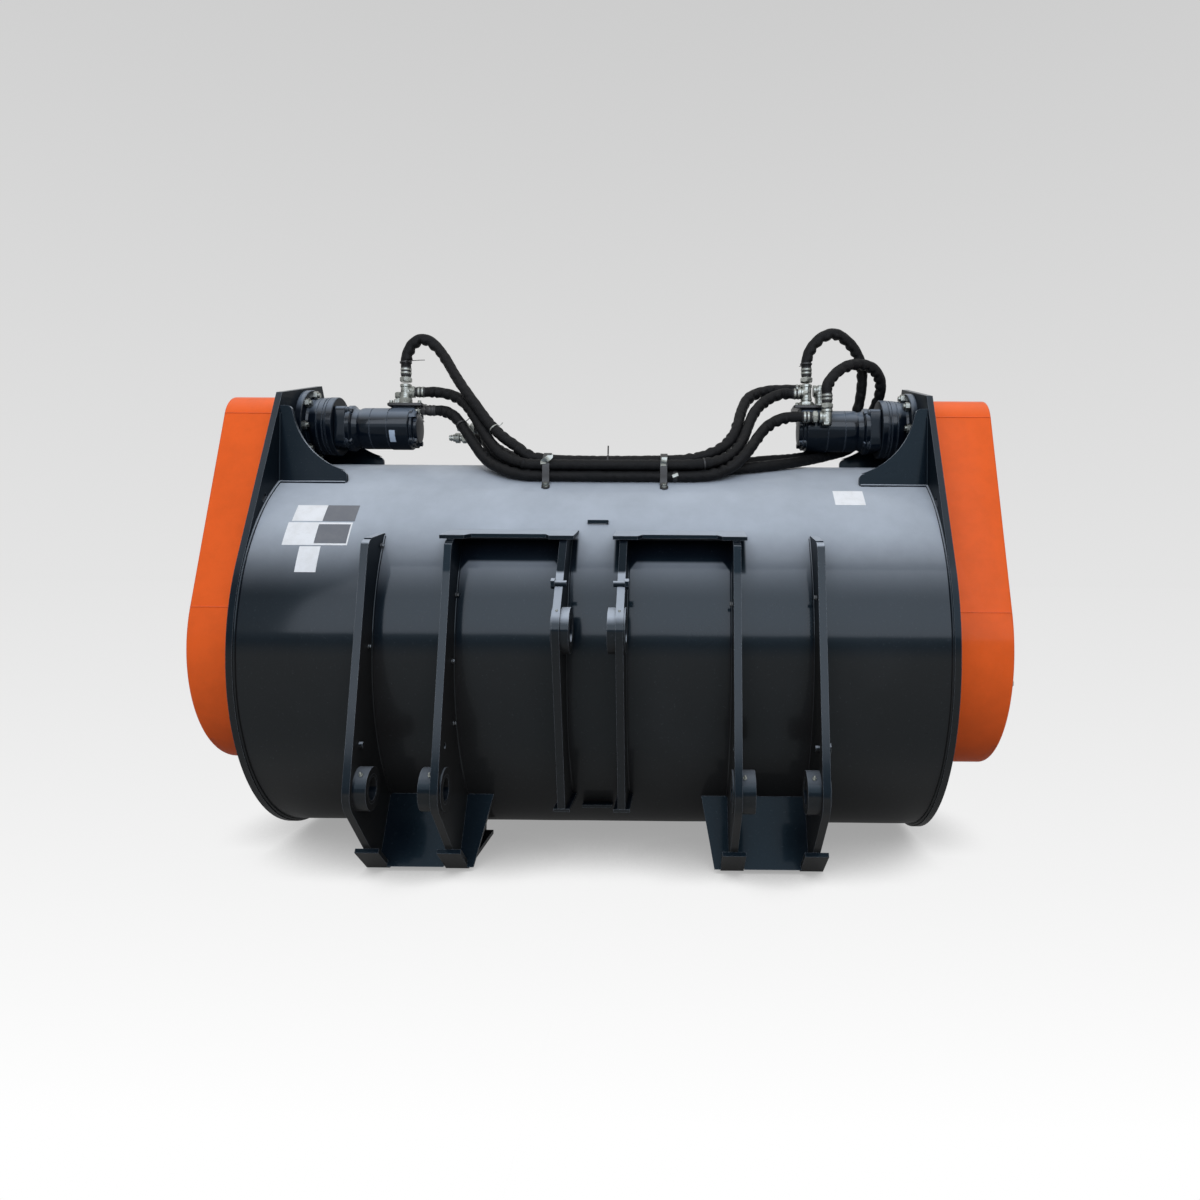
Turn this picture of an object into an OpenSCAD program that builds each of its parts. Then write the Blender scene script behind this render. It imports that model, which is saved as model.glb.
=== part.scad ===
// Concrete mixing bucket for a wheel loader, pin-on type, with two hydraulic motors and chain drives.
// X runs across the machine, +Y points to the mouth, Z is up. The origin lies on the ground below
// the mixing shaft.

/* [Drum] */
// Width over the outer faces of the two end plates
body_w = 1960; // [1700:10:2300]
// Outer radius of the rolled shell
drum_r = 571; // [520:1:620]
// Thickness of the shell
shell_t = 8; // [5:1:12]
// Gap between the shell and the ground
ground_gap = 29; // [22:1:60]
// Thickness of an end plate
plate_t = 18; // [12:1:25]
// How far an end plate reaches past the shell
plate_edge = 9; // [5:1:20]
// Angle from the top, forward, at which the mouth starts
mouth_angle = 38; // [30:1:50]
// How far the tip of the lip plate reaches past the shell
lip_out = 124; // [90:2:220]
// Thickness of the lip plate
lip_t = 16; // [10:1:20]
// Side of the square beam along the upper edge of the mouth
beam_w = 50; // [40:5:60]
// Wall of that beam
beam_t = 5; // [3:1:8]

/* [Cutting edge] */
// Length of the cutting edge from rear to tip
edge_len = 200; // [150:5:260]
// How far the cutting edge reaches past the lip plate
edge_out = 40; // [20:5:60]
// Number of bolts through the cutting edge
edge_bolts = 8; // [4:1:12]
// Diameter of those bolts
edge_bolt_d = 20; // [16:1:24]

/* [Ears] */
// Height of the rear corner of an ear above the top of the shell
ear_rear_rise = 186; // [175:1:220]
// Distance of that corner behind the shaft
ear_rear_y = 285; // [260:1:310]
// Height of the top corner of an ear above the top of the shell
ear_top_rise = 265; // [245:1:300]
// Distance of the top corner in front of the shaft
ear_top_y = 20; // [0:1:60]
// Length of a gusset foot along the shell
gusset_len = 202; // [160:1:240]
// Height of a gusset
gusset_h = 230; // [200:1:250]
// Thickness of a gusset
gusset_t = 12; // [8:1:16]
// Width of a gusset at its two tips
gusset_tip = 36; // [26:1:50]

/* [Drive] */
// Distance of the motor axis behind the shaft
motor_back = 83; // [70:1:100]
// Height of the motor axis above the top of the shell
motor_rise = 115; // [108:1:125]
// Room between the pitch line of the big sprocket and the cover round it
cover_room = 82; // [60:1:100]
// Room between the pitch line of the small sprocket and the cover round it
cover_top_room = 25.3; // [22:0.1:40]
// Depth of a chain cover
cover_depth = 214; // [180:1:240]
// Sheet thickness of a chain cover
cover_t = 4; // [2:0.5:6]
// Teeth of the sprocket on the gearbox
drive_teeth = 13; // [12:1:13]
// Teeth of the sprocket on the mixing shaft
driven_teeth = 59; // [50:1:62]
// Links in a chain, an even number
chain_links = 82; // [82:2:82]
// Thickness of the sprocket teeth
tooth_t = 17; // [12:1:18]
// Diameter of a chain roller
roller_d = 19; // [16:1:19]
// Thickness of a chain link plate
link_t = 2.6; // [2:0.1:3]

/* [Rotor] */
// Radius of the mixing tube
tube_r = 57; // [45:1:70]
// Radius of the shaft ends in their bearings
stub_r = 35; // [25:1:40]
// Clearance between the ribbons and the shell
ribbon_gap = 28; // [20:1:60]
// Radial width of a ribbon
ribbon_w = 62; // [40:1:80]
// Thickness of a ribbon along the shaft
ribbon_t = 14; // [10:1:20]
// Turn of each ribbon from its end to the middle, in degrees
ribbon_turn = 300; // [180:10:360]
// Arms that carry each ribbon
ribbon_arms = 4; // [3:1:5]
// Radius of an arm
arm_r = 20; // [14:1:25]

/* [Lift and tilt lugs] */
// Thickness of every lug plate
lug_t = 20; // [15:1:25]
// Distance from the middle to the outer face of an outer lift lug
outer_lug_x = 611; // [580:1:640]
// Distance from the middle to the outer face of an inner lift lug
inner_lug_x = 391; // [370:1:420]
// Distance from the middle to the inner face of a tilt lug
tilt_lug_x = 70; // [60:1:100]
// Distance of the lift pin behind the shell
lift_pin_back = 89; // [80:1:110]
// Height of the lift pin above the ground
lift_pin_h = 264; // [250:1:280]
// Bore for the lift pin
lift_bore_d = 60; // [40:1:70]
// Diameter of a lift boss
lift_boss_d = 112; // [100:1:130]
// How far a lift boss stands off its lug
lift_boss_out = 35; // [20:1:45]
// Distance of the tilt pin behind the shell
tilt_pin_back = 95; // [85:1:110]
// Height of the tilt pin above the lift pin
tilt_pin_rise = 411; // [396:1:426]
// Bore for the tilt pin
tilt_bore_d = 60; // [40:1:70]
// Diameter of a tilt boss
tilt_boss_d = 120; // [100:1:130]
// How far a tilt boss stands off its lug
tilt_boss_out = 22; // [10:1:30]
// Wall of the bushes in the bosses
bush_t = 8; // [5:1:10]
// Thickness of the lug caps
cap_t = 10; // [6:1:14]
// Width of a foot strip
foot_w = 64; // [50:1:80]
// Thickness of a foot strip
foot_t = 12; // [8:1:16]

/* [Grate] */
// Radial height of the grate ribs
rib_h = 40; // [30:1:50]
// Thickness of a rib
rib_t = 8; // [6:1:12]
// Number of ribs
rib_count = 10; // [10:1:13]
// Diameter of the cross bars
bar_d = 16; // [12:1:20]
// Cross bars on the curved part of the grate
bars_round = 4; // [3:1:5]
// Cross bars on the straight part of the grate
bars_straight = 6; // [5:1:8]
// Gap between the end plates' edge and the grate
grate_lift = 14; // [12:1:20]

/* [Hoses] */
// Outer diameter of a sleeved hose
hose_d = 31; // [24:1:31]
// Sides of a hose
hose_sides = 10; // [8:1:12]

/* [Hidden] */
$fn = 64;

// Colours
paint = "#3a444d";
cover_orange = "#e25a24";
steel = "#8d9398";
zinc = "#c3c6c4";
black = "#17191b";
worn_steel = "#6d6a66";

// Overrun of every cut
cut = 2;
// Clearance of a turning shaft in its bore, in radius
run_gap = 0.05;
// Clearance of a fixed piece in its hole, in radius
seat_gap = 0.1;
// How deep a tangent edge dips into the round that it meets
dip = 0.1;
// Far enough to reach outside the whole part
reach = 2 * drum_r;

axis_h = drum_r + ground_gap;
plate_r = drum_r + plate_edge;
inner_r = drum_r - shell_t;
side_x = body_w / 2;
plate_x = side_x - plate_t;
lip_reach = drum_r + lip_out;
edge_t = axis_h - inner_r - lip_t;
ribbon_r = inner_r - ribbon_gap;
motor_up = drum_r + motor_rise;
motor_at = [-motor_back, motor_up];
lift_at = [-drum_r - lift_pin_back, lift_pin_h - axis_h];
tilt_at = [-drum_r - tilt_pin_back, lift_pin_h + tilt_pin_rise - axis_h];

// Helpers: points and tangents in the side view, where the first number is Y and the second is Z

// Point at radius r and angle a from the top, forward
function from_top(r, a) = [r * sin(a), r * cos(a)];

// Length of a vector
function len2(p) = sqrt(p[0] * p[0] + p[1] * p[1]);

// Point where the line from p touches the circle of radius r round c, less the dip; side is 1 or -1
function touch(p, c, r, side) =
  let (d = p - c, far = len2(d), base = atan2(d[1], d[0]), half = acos((r - dip) / far))
    c + (r - dip) * [cos(base + side * half), sin(base + side * half)];

// Distance along direction d from p to the circle of radius r round the shaft
function enter(p, d, r) = -p * d - sqrt((p * d) * (p * d) - p * p + r * r);

// Place on the circle of radius r at distance y, above the shaft
function height_at(r, y) = sqrt(r * r - y * y);

// Extrudes a side view from one X to another
module across(from_x, to_x) {
  translate([from_x, 0, axis_h])
    rotate([90, 0, 90])
      linear_extrude(to_x - from_x)
        children();
}

// Extrudes each outline on its own, so that they join as solids
module across_each(from_x, to_x) {
  for (i = [0 : $children - 1])
    across(from_x, to_x)
      children(i);
}

// Round bar along X at a place of the side view
module bar_x(at, from_x, to_x, r) {
  translate([from_x, at[0], axis_h + at[1]])
    rotate([0, 90, 0])
      cylinder(h = to_x - from_x, r = r);
}

// Turned piece about the X line through a place of the side view; the profile holds [radius, x] pairs
module turned_x(at, profile) {
  translate([0, at[0], axis_h + at[1]])
    rotate([90, 0, 90])
      rotate_extrude()
        polygon(profile);
}

// Hexagon bar along X
module hex_x(at, from_x, to_x, flats) {
  translate([from_x, at[0], axis_h + at[1]])
    rotate([0, 90, 0])
      cylinder(h = to_x - from_x, d = flats / cos(30), $fn = 6);
}

// The right side, and its mirror image
module both_sides() {
  children();
  mirror([1, 0, 0])
    children();
}

module left_side() {
  mirror([1, 0, 0])
    children();
}

// Pitch and pitch radii of the chain drive
centre_gap = len2(motor_at);

// Length of the chain line for a pitch, and the pitch that lets the links close
function chain_line(p) =
  let (half = acos((driven_teeth - drive_teeth) * p / 360 * deg_r / centre_gap))
    2 * centre_gap * sin(half)
    + p * driven_teeth * (360 - 2 * half) / 360
    + p * drive_teeth * 2 * half / 360;
deg_r = 180 / PI;
function fitted_pitch(p, steps) = steps == 0 ? p : fitted_pitch(chain_line(p) / chain_links, steps - 1);
first_pitch = 30;
pitch_steps = 40;
pitch = fitted_pitch(first_pitch, pitch_steps);
driven_r = driven_teeth * pitch * deg_r / 360;
drive_r = drive_teeth * pitch * deg_r / 360;
cover_r = driven_r + cover_room;
cover_top_r = drive_r + cover_top_room;

// Drum shell: a rolled plate, open at the mouth
module shell_outline() {
  difference() {
    circle(r = drum_r, $fn = 128);
    circle(r = inner_r, $fn = 128);
    polygon([[0, 0], from_top(reach, mouth_angle), [reach, reach], [reach, -reach], [0, -reach]]);
  }
}

module drum_shell() {
  color(paint)
    across(-plate_x, plate_x)
      shell_outline();
}

// End plates: a disc with an ear for the motor and a cheek down to the lip
lip_tip = [lip_reach, -inner_r - lip_t];
cheek_touch = touch(lip_tip, [0, 0], plate_r, 1);
ear_rear = [-ear_rear_y, drum_r + ear_rear_rise];
ear_top = [ear_top_y, drum_r + ear_top_rise];
ear_rear_touch = touch(ear_rear, [0, 0], plate_r, 1);
cover_front_touch = cover_tangent(cover_r, [0, 0], -1);
cover_front_top = cover_tangent(cover_top_r, motor_at, -1);
ear_front_dir = (cover_front_touch - cover_front_top) / len2(cover_front_touch - cover_front_top);
ear_front = ear_top + ear_front_dir * enter(ear_top, ear_front_dir, plate_r - plate_edge / 2);
shaft_hole_room = 10;
shaft_hole_r = stub_r + shaft_hole_room;
nose_r = 80;
ear_slot_w = 12;
ear_slot_len = 30;
ear_slot_angle = -42.5;

module end_plate_holes() {
  circle(r = shaft_hole_r);
  translate(motor_at)
    circle(r = nose_r + seat_gap);
  flange_hole_places()
    circle(r = stud_r + seat_gap);
  translate(from_top(plate_r + ear_slot_w / 2, ear_slot_angle))
    rotate(-ear_slot_angle)
      square([ear_slot_len, ear_slot_w], center = true);
}

module end_plate() {
  color(paint)
    difference() {
      across_each(plate_x, side_x) {
        circle(r = plate_r, $fn = 128);
        polygon([[0, 0], cheek_touch, lip_tip, [0, lip_tip[1]]]);
        polygon([[0, 0], ear_rear_touch, ear_rear, ear_top, ear_front]);
      }
      across(plate_x - cut, side_x + cut)
        end_plate_holes();
    }
}

// Lip plate: the flat floor in front of the shell
module lip_plate() {
  color(paint)
    difference() {
      across(-plate_x, plate_x)
        translate([0, lip_tip[1]])
          square([lip_reach, lip_t]);
      edge_bolt_places()
        translate([0, 0, -cut])
          cylinder(h = axis_h, r = edge_bolt_d / 2 + seat_gap);
    }
}

// Cutting edge: a bevelled bar bolted under the lip
edge_bevel = 70;
edge_nose = 6;
edge_tip = lip_reach + edge_out;
head_r_share = 0.9;
head_h_share = 0.6;
head_r = edge_bolt_d * head_r_share;
head_h = edge_t * head_h_share;

module edge_bolt_places() {
  pitch = 2 * plate_x / edge_bolts;
  for (i = [0 : edge_bolts - 1])
    translate([-plate_x + pitch * (i + 0.5), lip_reach - edge_len / 2 + edge_out / 2, 0])
      children();
}

module cutting_edge() {
  color(worn_steel)
    difference() {
      across(-plate_x, plate_x)
        polygon([
          [edge_tip - edge_len, lip_tip[1]], [edge_tip - edge_bevel, lip_tip[1]],
          [edge_tip, -axis_h + edge_nose], [edge_tip, -axis_h], [edge_tip - edge_len, -axis_h]
        ]);
      edge_bolt_places() {
        translate([0, 0, -cut])
          cylinder(h = edge_t + 2 * cut, r = edge_bolt_d / 2 + seat_gap);
        translate([0, 0, -cut])
          cylinder(h = head_h + cut, r = head_r + seat_gap);
      }
    }
}

edge_nut_share = 0.8;
edge_nut_h = edge_bolt_d * edge_nut_share;

module cutting_edge_bolts() {
  color(worn_steel)
    edge_bolt_places() {
      cylinder(h = head_h, r = head_r);
      cylinder(h = edge_t + lip_t + edge_nut_h + edge_bolt_d / 4, r = edge_bolt_d / 2);
      translate([0, 0, edge_t + lip_t])
        cylinder(h = edge_nut_h, d = edge_bolt_d * 1.5 / cos(30), $fn = 6);
    }
}

// Beam along the upper edge of the mouth, on the outside of the shell
beam_back_angle = 5;
beam_angle = mouth_angle - beam_back_angle;

module mouth_beam() {
  color(paint)
    across(-plate_x, plate_x)
      difference() {
        rotate(-beam_angle)
          translate([-beam_w / 2, drum_r - plate_edge])
            difference() {
              square([beam_w, beam_w + plate_edge]);
              translate([beam_t, -cut])
                square([beam_w - 2 * beam_t, beam_w + plate_edge - beam_t + cut]);
            }
        circle(r = drum_r, $fn = 128);
      }
}

// Lift lugs: side view with a nose round the lift pin and a foot on the ground
lift_nose_t = 15;
lift_nose_r = lift_boss_d / 2 + lift_nose_t;
lift_top_back = 35;
heel_in = 6;
heel_h = 81;
// Shares of the shell's radius: height of the top edge, its inner end, and the two ends of the flat foot
lift_top_share = 0.54;
lift_in_shares = [-0.823, 0.578];
foot_shares = [0.816, 0.228];
lift_top = [-drum_r - lift_top_back, drum_r * lift_top_share];
lift_top_in = drum_r * lift_in_shares;
lift_heel = [-drum_r + heel_in, heel_h - axis_h];
foot_z = foot_t - axis_h;
foot_near = -drum_r * foot_shares[0];
foot_far = -drum_r * foot_shares[1];
lug_round_r = 24;

module lift_lug_outline() {
  near_top = touch(lift_top, lift_at, lift_nose_r, 1);
  near_low = touch(lift_heel, lift_at, lift_nose_r, -1);
  difference() {
    union() {
      polygon([
        lift_top, near_top, lift_at, near_low, lift_heel, [foot_near, foot_z], [foot_far, foot_z],
        [foot_far, foot_near], [foot_near / 2, 0], lift_top_in
      ]);
      translate(lift_at)
        circle(r = lift_nose_r);
    }
    circle(r = drum_r, $fn = 128);
    translate(lift_at)
      circle(r = lift_boss_d / 2 + seat_gap);
    translate(lift_at + [0, lift_boss_d])
      circle(r = keeper_r + seat_gap);
    translate(lift_top)
      top_round(lug_round_r);
  }
}

// Rounds the top rear corner of a plate, to be cut from it
module top_round(r) {
  difference() {
    translate([-cut, -r])
      square([r + cut, r + lug_t]);
    translate([r, -r])
      circle(r = r);
  }
}

module lift_lug(outer_x) {
  color(paint)
    across(outer_x - lug_t, outer_x)
      lift_lug_outline();
}

// Tilt lugs: side view with a nose round the tilt pin
tilt_nose_t = 9;
tilt_nose_r = tilt_boss_d / 2 + tilt_nose_t;
tilt_plate_back = 8;
// Shares of the shell's radius: heights of the top and low ends, and the inner end of the top edge
tilt_end_shares = [0.545, -0.709];
tilt_in_shares = [-0.823, 0.576];
tilt_top = [-drum_r - tilt_plate_back, drum_r * tilt_end_shares[0]];
tilt_top_in = drum_r * tilt_in_shares;
tilt_low = [-drum_r - tilt_plate_back, drum_r * tilt_end_shares[1]];
pad_t = 8;
pad_w = 44;

module tilt_lug_outline() {
  near_top = touch(tilt_top, tilt_at, tilt_nose_r, 1);
  near_low = touch(tilt_low, tilt_at, tilt_nose_r, -1);
  difference() {
    union() {
      polygon([
        tilt_top, near_top, tilt_at, near_low, tilt_low,
        [-height_at(drum_r, tilt_low[1]) + lug_t, tilt_low[1]], [-drum_r / 2, 0], tilt_top_in
      ]);
      translate(tilt_at)
        circle(r = tilt_nose_r);
    }
    circle(r = drum_r, $fn = 128);
    translate(tilt_at)
      circle(r = tilt_boss_d / 2 + seat_gap);
    translate(tilt_at + [0, tilt_boss_d])
      circle(r = keeper_r + seat_gap);
  }
}

module tilt_lug() {
  color(paint)
    across(tilt_lug_x, tilt_lug_x + lug_t)
      tilt_lug_outline();
}

module tilt_lug_pads() {
  pad_rear = tilt_low[0];
  pad_mid = tilt_lug_x + lug_t / 2;
  color(paint)
    both_sides()
      difference() {
        across(pad_mid - pad_w / 2, pad_mid + pad_w / 2)
          translate([pad_rear, tilt_low[1] - pad_t])
            square([-pad_rear, pad_t]);
        bar_x([0, 0], 0, side_x, drum_r, $fn = 128);
      }
}

// Bosses: rings welded through the lugs, with a bush in each
boss_edge = 4;

module boss(at, from_x, to_x, d, bore) {
  difference() {
    bar_x(at, from_x, to_x, d / 2);
    bar_x(at, from_x - cut, to_x + cut, bore / 2 + bush_t + seat_gap);
  }
}

module bush(at, from_x, to_x, bore) {
  difference() {
    bar_x(at, from_x, to_x, bore / 2 + bush_t);
    bar_x(at, from_x - cut, to_x + cut, bore / 2);
  }
}

lift_outer = [outer_lug_x - lug_t - lift_boss_out, outer_lug_x + boss_edge];
lift_inner = [inner_lug_x - lug_t - boss_edge, inner_lug_x + lift_boss_out];
tilt_span = [tilt_lug_x - tilt_boss_out, tilt_lug_x + lug_t + boss_edge];

module lift_bosses() {
  color(paint)
    both_sides()
      for (span = [lift_outer, lift_inner])
        boss(lift_at, span[0], span[1], lift_boss_d, lift_bore_d);
}

module tilt_bosses() {
  color(paint)
    both_sides()
      boss(tilt_at, tilt_span[0], tilt_span[1], tilt_boss_d, tilt_bore_d);
}

// Bushes, and the keeper bolts above each boss
keeper_r = 8;
keeper_head = 10;

module keeper(at, from_x, to_x) {
  bar_x(at, from_x - keeper_head, to_x + keeper_head, keeper_r);
  hex_x(at, to_x, to_x + keeper_head, keeper_r * 3);
}

module lift_bushes() {
  color(steel)
    both_sides() {
      for (span = [lift_outer, lift_inner])
        bush(lift_at, span[0], span[1], lift_bore_d);
      keeper(lift_at + [0, lift_boss_d], outer_lug_x - lug_t, outer_lug_x);
    }
}

module tilt_bushes() {
  color(steel)
    both_sides() {
      bush(tilt_at, tilt_span[0], tilt_span[1], tilt_bore_d);
      keeper(tilt_at + [0, tilt_boss_d], tilt_lug_x, tilt_lug_x + lug_t);
    }
}

// Lug caps: sloping plates over the tilt lug and the inner lift lug, with a recessed near edge
cap_gap = 0.2;
cap_slope = atan2(lift_top_in[1] - lift_top[1], lift_top_in[0] - lift_top[0]);
cap_overhang = 18;
cap_recess = 30;
cap_len = 160;

module lug_cap() {
  from_x = tilt_lug_x - cap_overhang;
  to_x = inner_lug_x + cap_overhang;
  rear = lift_top[0] - cut;
  recess_end = lift_top[0] + cap_overhang + cap_recess;
  color(paint)
    difference() {
      across(from_x, to_x)
        translate([lift_top[0], lift_top[1] + cap_gap])
          rotate(cap_slope)
            translate([cap_overhang, 0])
              square([cap_len, cap_t]);
      bar_x([0, 0], from_x - cut, to_x + cut, drum_r, $fn = 128);
      translate([0, 0, axis_h])
        linear_extrude(drum_r)
          polygon([
            [tilt_lug_x + 2 * lug_t, rear], [tilt_lug_x + 3 * lug_t, recess_end],
            [inner_lug_x - 3 * lug_t, recess_end], [inner_lug_x - 2 * lug_t, rear]
          ]);
    }
}

module lug_caps() {
  both_sides()
    lug_cap();
}

// Cross plates: an inclined web between the lugs of a pair, with a wing inside the inner lug
web_t = 10;
web_angle = -136;
web_back = 32;
web_top = from_top(drum_r, web_angle);
web_low = [foot_near - web_back, foot_z];
wing_top = 75;
wing_low = 40;

module web_outline() {
  difference() {
    polygon([web_top, web_low, web_low + [web_t, 0], web_top + [3 * web_t, 0]]);
    circle(r = drum_r, $fn = 128);
  }
}

// Room below the top faces of the foot strips, cut from the webs that end on them
module foot_room() {
  polygon([lift_heel, [foot_near, foot_z], [foot_near, -axis_h], [lift_heel[0], -axis_h]]);
}

module cross_plates() {
  lug_in = inner_lug_x - lug_t;
  color(paint)
    both_sides()
      difference() {
        union() {
          across(inner_lug_x, outer_lug_x - lug_t)
            web_outline();
          intersection() {
            across(lug_in - wing_top, lug_in)
              web_outline();
            translate([0, 0, axis_h])
              rotate([90, 0, 0])
                linear_extrude(drum_r + lug_t)
                  polygon([
                    [lug_in - wing_top, web_top[1]], [lug_in, web_top[1]],
                    [lug_in, web_low[1]], [lug_in - wing_low, web_low[1]]
                  ]);
          }
        }
        foot_spans()
          foot_room();
      }
}

// Foot strips under the lift lugs: a sloping part at the heel and a flat part on the ground
module foot_outline() {
  slope = atan2(lift_heel[1] - foot_z, foot_near - lift_heel[0]);
  polygon([
    lift_heel, [foot_near, foot_z], [foot_far, foot_z], [foot_far, -axis_h],
    [foot_near - foot_t * tan(slope / 2), -axis_h], lift_heel - foot_t * [sin(slope), cos(slope)]
  ]);
}

module foot_spans() {
  for (x = [outer_lug_x, inner_lug_x])
    across(x - (lug_t + foot_w) / 2, x + (foot_w - lug_t) / 2)
      children();
}

module foot_strips() {
  color(paint)
    both_sides()
      foot_spans()
        foot_outline();
}

// Small formed staple and tab on the shell, between the tilt lugs
staple_w = 58;
// Places of the staple and the tab, as shares of the shell's radius
staple_share = -0.767;
tab_shares = [-0.7075, -0.781];
staple_y = drum_r * staple_share;
staple_out = 12;
staple_t = 5;
tab_w = 86;
tab_y = drum_r * tab_shares[0];
tab_z = drum_r * tab_shares[1];
tab_t = 8;

module shell_tabs() {
  staple_near = staple_y - staple_out;
  staple_low = axis_h + height_at(drum_r, staple_y) - staple_t;
  color(paint) {
    difference() {
      translate([-staple_w / 2, staple_near, staple_low])
        cube([staple_w, 3 * staple_out, 2 * staple_t]);
      translate([-staple_w / 2 + staple_t, staple_near + staple_t, staple_low - cut])
        cube([staple_w - 2 * staple_t, 3 * staple_out, 2 * staple_t + 2 * cut]);
      bar_x([0, 0], -staple_w, staple_w, drum_r, $fn = 128);
    }
    difference() {
      translate([-tab_w / 2, tab_y, axis_h + tab_z])
        cube([tab_w, -tab_y / 4, tab_t]);
      bar_x([0, 0], -tab_w, tab_w, drum_r, $fn = 128);
    }
  }
}

// Motor gussets: plates on the shell that brace the ears
gusset_back = 218;
gusset_front = 119;
gusset_near = -motor_back - gusset_back;
gusset_far = gusset_front - motor_back;

module gusset_outline() {
  rise = gusset_h - gusset_tip;
  run = gusset_len - gusset_tip;
  low = gusset_tip / 2;
  over = (rise * rise - run * run + 2 * rise * low) / (2 * run);
  centre = [gusset_len + over, gusset_h + low];
  difference() {
    square([gusset_len, gusset_h]);
    translate(centre)
      circle(r = len2([run + over, low]), $fn = 96);
    translate([gusset_tip, gusset_h])
      tip_round();
    translate([gusset_len, gusset_tip])
      tip_round();
  }
}

// Rounds one tip of a gusset, to be cut from it
tip_share = 0.45;

module tip_round() {
  r = gusset_tip * tip_share;
  translate([-r, -r])
    difference() {
      square([r + cut, r + cut]);
      circle(r = r);
    }
}

module gusset(y) {
  foot = min(height_at(drum_r, y), height_at(drum_r, y + gusset_t));
  difference() {
    translate([plate_x, y, axis_h + foot])
      rotate([90, 0, 180])
        linear_extrude(gusset_t)
          gusset_outline();
    bar_x([0, 0], 0, side_x, drum_r, $fn = 128);
  }
}

module motor_gussets() {
  color(paint)
    both_sides() {
      gusset(gusset_near);
      gusset(gusset_far);
    }
}

// Chain covers: deep pans round both sprockets
cover_x = side_x + cover_depth;

// Tangent point of the cover outline on the circle of radius r round c; side is 1 at the rear
function cover_tangent(r, c, side) =
  let (d = motor_at, far = len2(d), lean = atan2(d[1], d[0]), half = acos((cover_r - cover_top_r) / far))
    c + (r - dip) * [cos(lean + side * half), sin(lean + side * half)];

module cover_body(from_x, to_x, inset) {
  lower = cover_r - inset;
  upper = cover_top_r - inset;
  across_each(from_x, to_x) {
    circle(r = lower, $fn = 128);
    translate(motor_at)
      circle(r = upper);
    polygon([
      cover_tangent(lower, [0, 0], 1), cover_tangent(upper, motor_at, 1), motor_at,
      cover_tangent(upper, motor_at, -1), cover_tangent(lower, [0, 0], -1), [0, 0]
    ]);
  }
}

module chain_cover() {
  color(cover_orange)
    difference() {
      cover_body(side_x, cover_x, 0);
      cover_body(side_x - cut, cover_x - cover_t, cover_t);
      post_places()
        bar_x([0, 0], cover_x - cover_t - cut, cover_x + cut, post_bolt_r + seat_gap);
    }
}

// Posts that carry the cover, inside the chain loop and round the driven sprocket
post_r = 14;
post_bolt_r = 6;
post_turns = [50, 95, 145, 200, 255];
// Share of the room round the big sprocket at which the posts stand
post_room_share = 0.604;
post_mid_share = 0.64;
post_ring_r = driven_r + cover_room * post_room_share;

module post_places() {
  for (a = post_turns)
    translate([0, post_ring_r * sin(a), post_ring_r * cos(a)])
      children();
  translate([0, motor_at[0] * post_mid_share, motor_at[1] * post_mid_share])
    children();
}

module cover_posts() {
  color(steel)
    both_sides()
      post_places()
        difference() {
          bar_x([0, 0], side_x, cover_x - cover_t, post_r);
          bar_x([0, 0], cover_x - cover_t - 3 * post_r, cover_x, post_bolt_r + seat_gap);
        }
}

module cover_bolts() {
  color(zinc)
    both_sides()
      post_places() {
        bar_x([0, 0], cover_x - cover_t - 2 * post_r, cover_x + post_bolt_r / 2, post_bolt_r);
        bar_x([0, 0], cover_x, cover_x + post_bolt_r / 3, 2 * post_bolt_r);
        hex_x([0, 0], cover_x + post_bolt_r / 3, cover_x + 3 * post_bolt_r / 2, 3 * post_bolt_r);
      }
}

// Gearboxes: a flange on the ear, a stepped round body and a nose through the ear
flange_r = 114;
flange_t = 20;
stud_ring_r = 98;
stud_r = 8;
stud_count = 8;
stud_turn = 6;
nut_h = 13;
nut_flats = 24;
gear_neck_r = 82;
gear_body_r = 88;
gear_ring_r = 93;
gear_len = 91;
gear_end_x = plate_x - gear_len;
drive_shaft_r = 25;
shaft_depth = 60;
nose_out = 6;

module flange_hole_places() {
  for (i = [0 : stud_count - 1])
    translate(motor_at + from_top(stud_ring_r, 360 / stud_count * i - stud_turn))
      children();
}

module gearbox() {
  color(paint)
    difference() {
      turned_x(motor_at, [
        [0, side_x + nose_out], [nose_r, side_x + nose_out], [nose_r, plate_x], [flange_r, plate_x],
        [flange_r, plate_x - flange_t], [gear_neck_r, plate_x - flange_t],
        [gear_neck_r, plate_x - 2 * flange_t], [gear_body_r, plate_x - 2 * flange_t],
        [gear_body_r, plate_x - 3 * flange_t], [gear_ring_r, plate_x - 3 * flange_t],
        [gear_ring_r, gear_end_x], [0, gear_end_x]
      ]);
      bar_x(motor_at, plate_x - shaft_depth, side_x + nose_out + cut, drive_shaft_r + run_gap);
      for (i = [0 : stud_count - 1])
        bar_x(motor_at + from_top(stud_ring_r, 360 / stud_count * i - stud_turn),
          plate_x - flange_t - cut, plate_x + cut, stud_r + seat_gap);
    }
}

// Studs screwed into the ears, with nuts on the gearbox flanges, and the bolts of the bearing flanges
module flange_studs() {
  color(zinc)
    both_sides() {
      for (i = [0 : stud_count - 1]) {
        at = motor_at + from_top(stud_ring_r, 360 / stud_count * i - stud_turn);
        bar_x(at, plate_x - flange_t - 3 * nut_h / 2, side_x, stud_r);
        hex_x(at, plate_x - flange_t - nut_h, plate_x - flange_t, nut_flats);
      }
      for (a = [45 : 90 : 315]) {
        at = from_top(bearing_bolt_ring, a);
        hex_x(at, side_x + bearing_flange_t, side_x + bearing_flange_t + nut_h, nut_flats);
      }
    }
}

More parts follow.
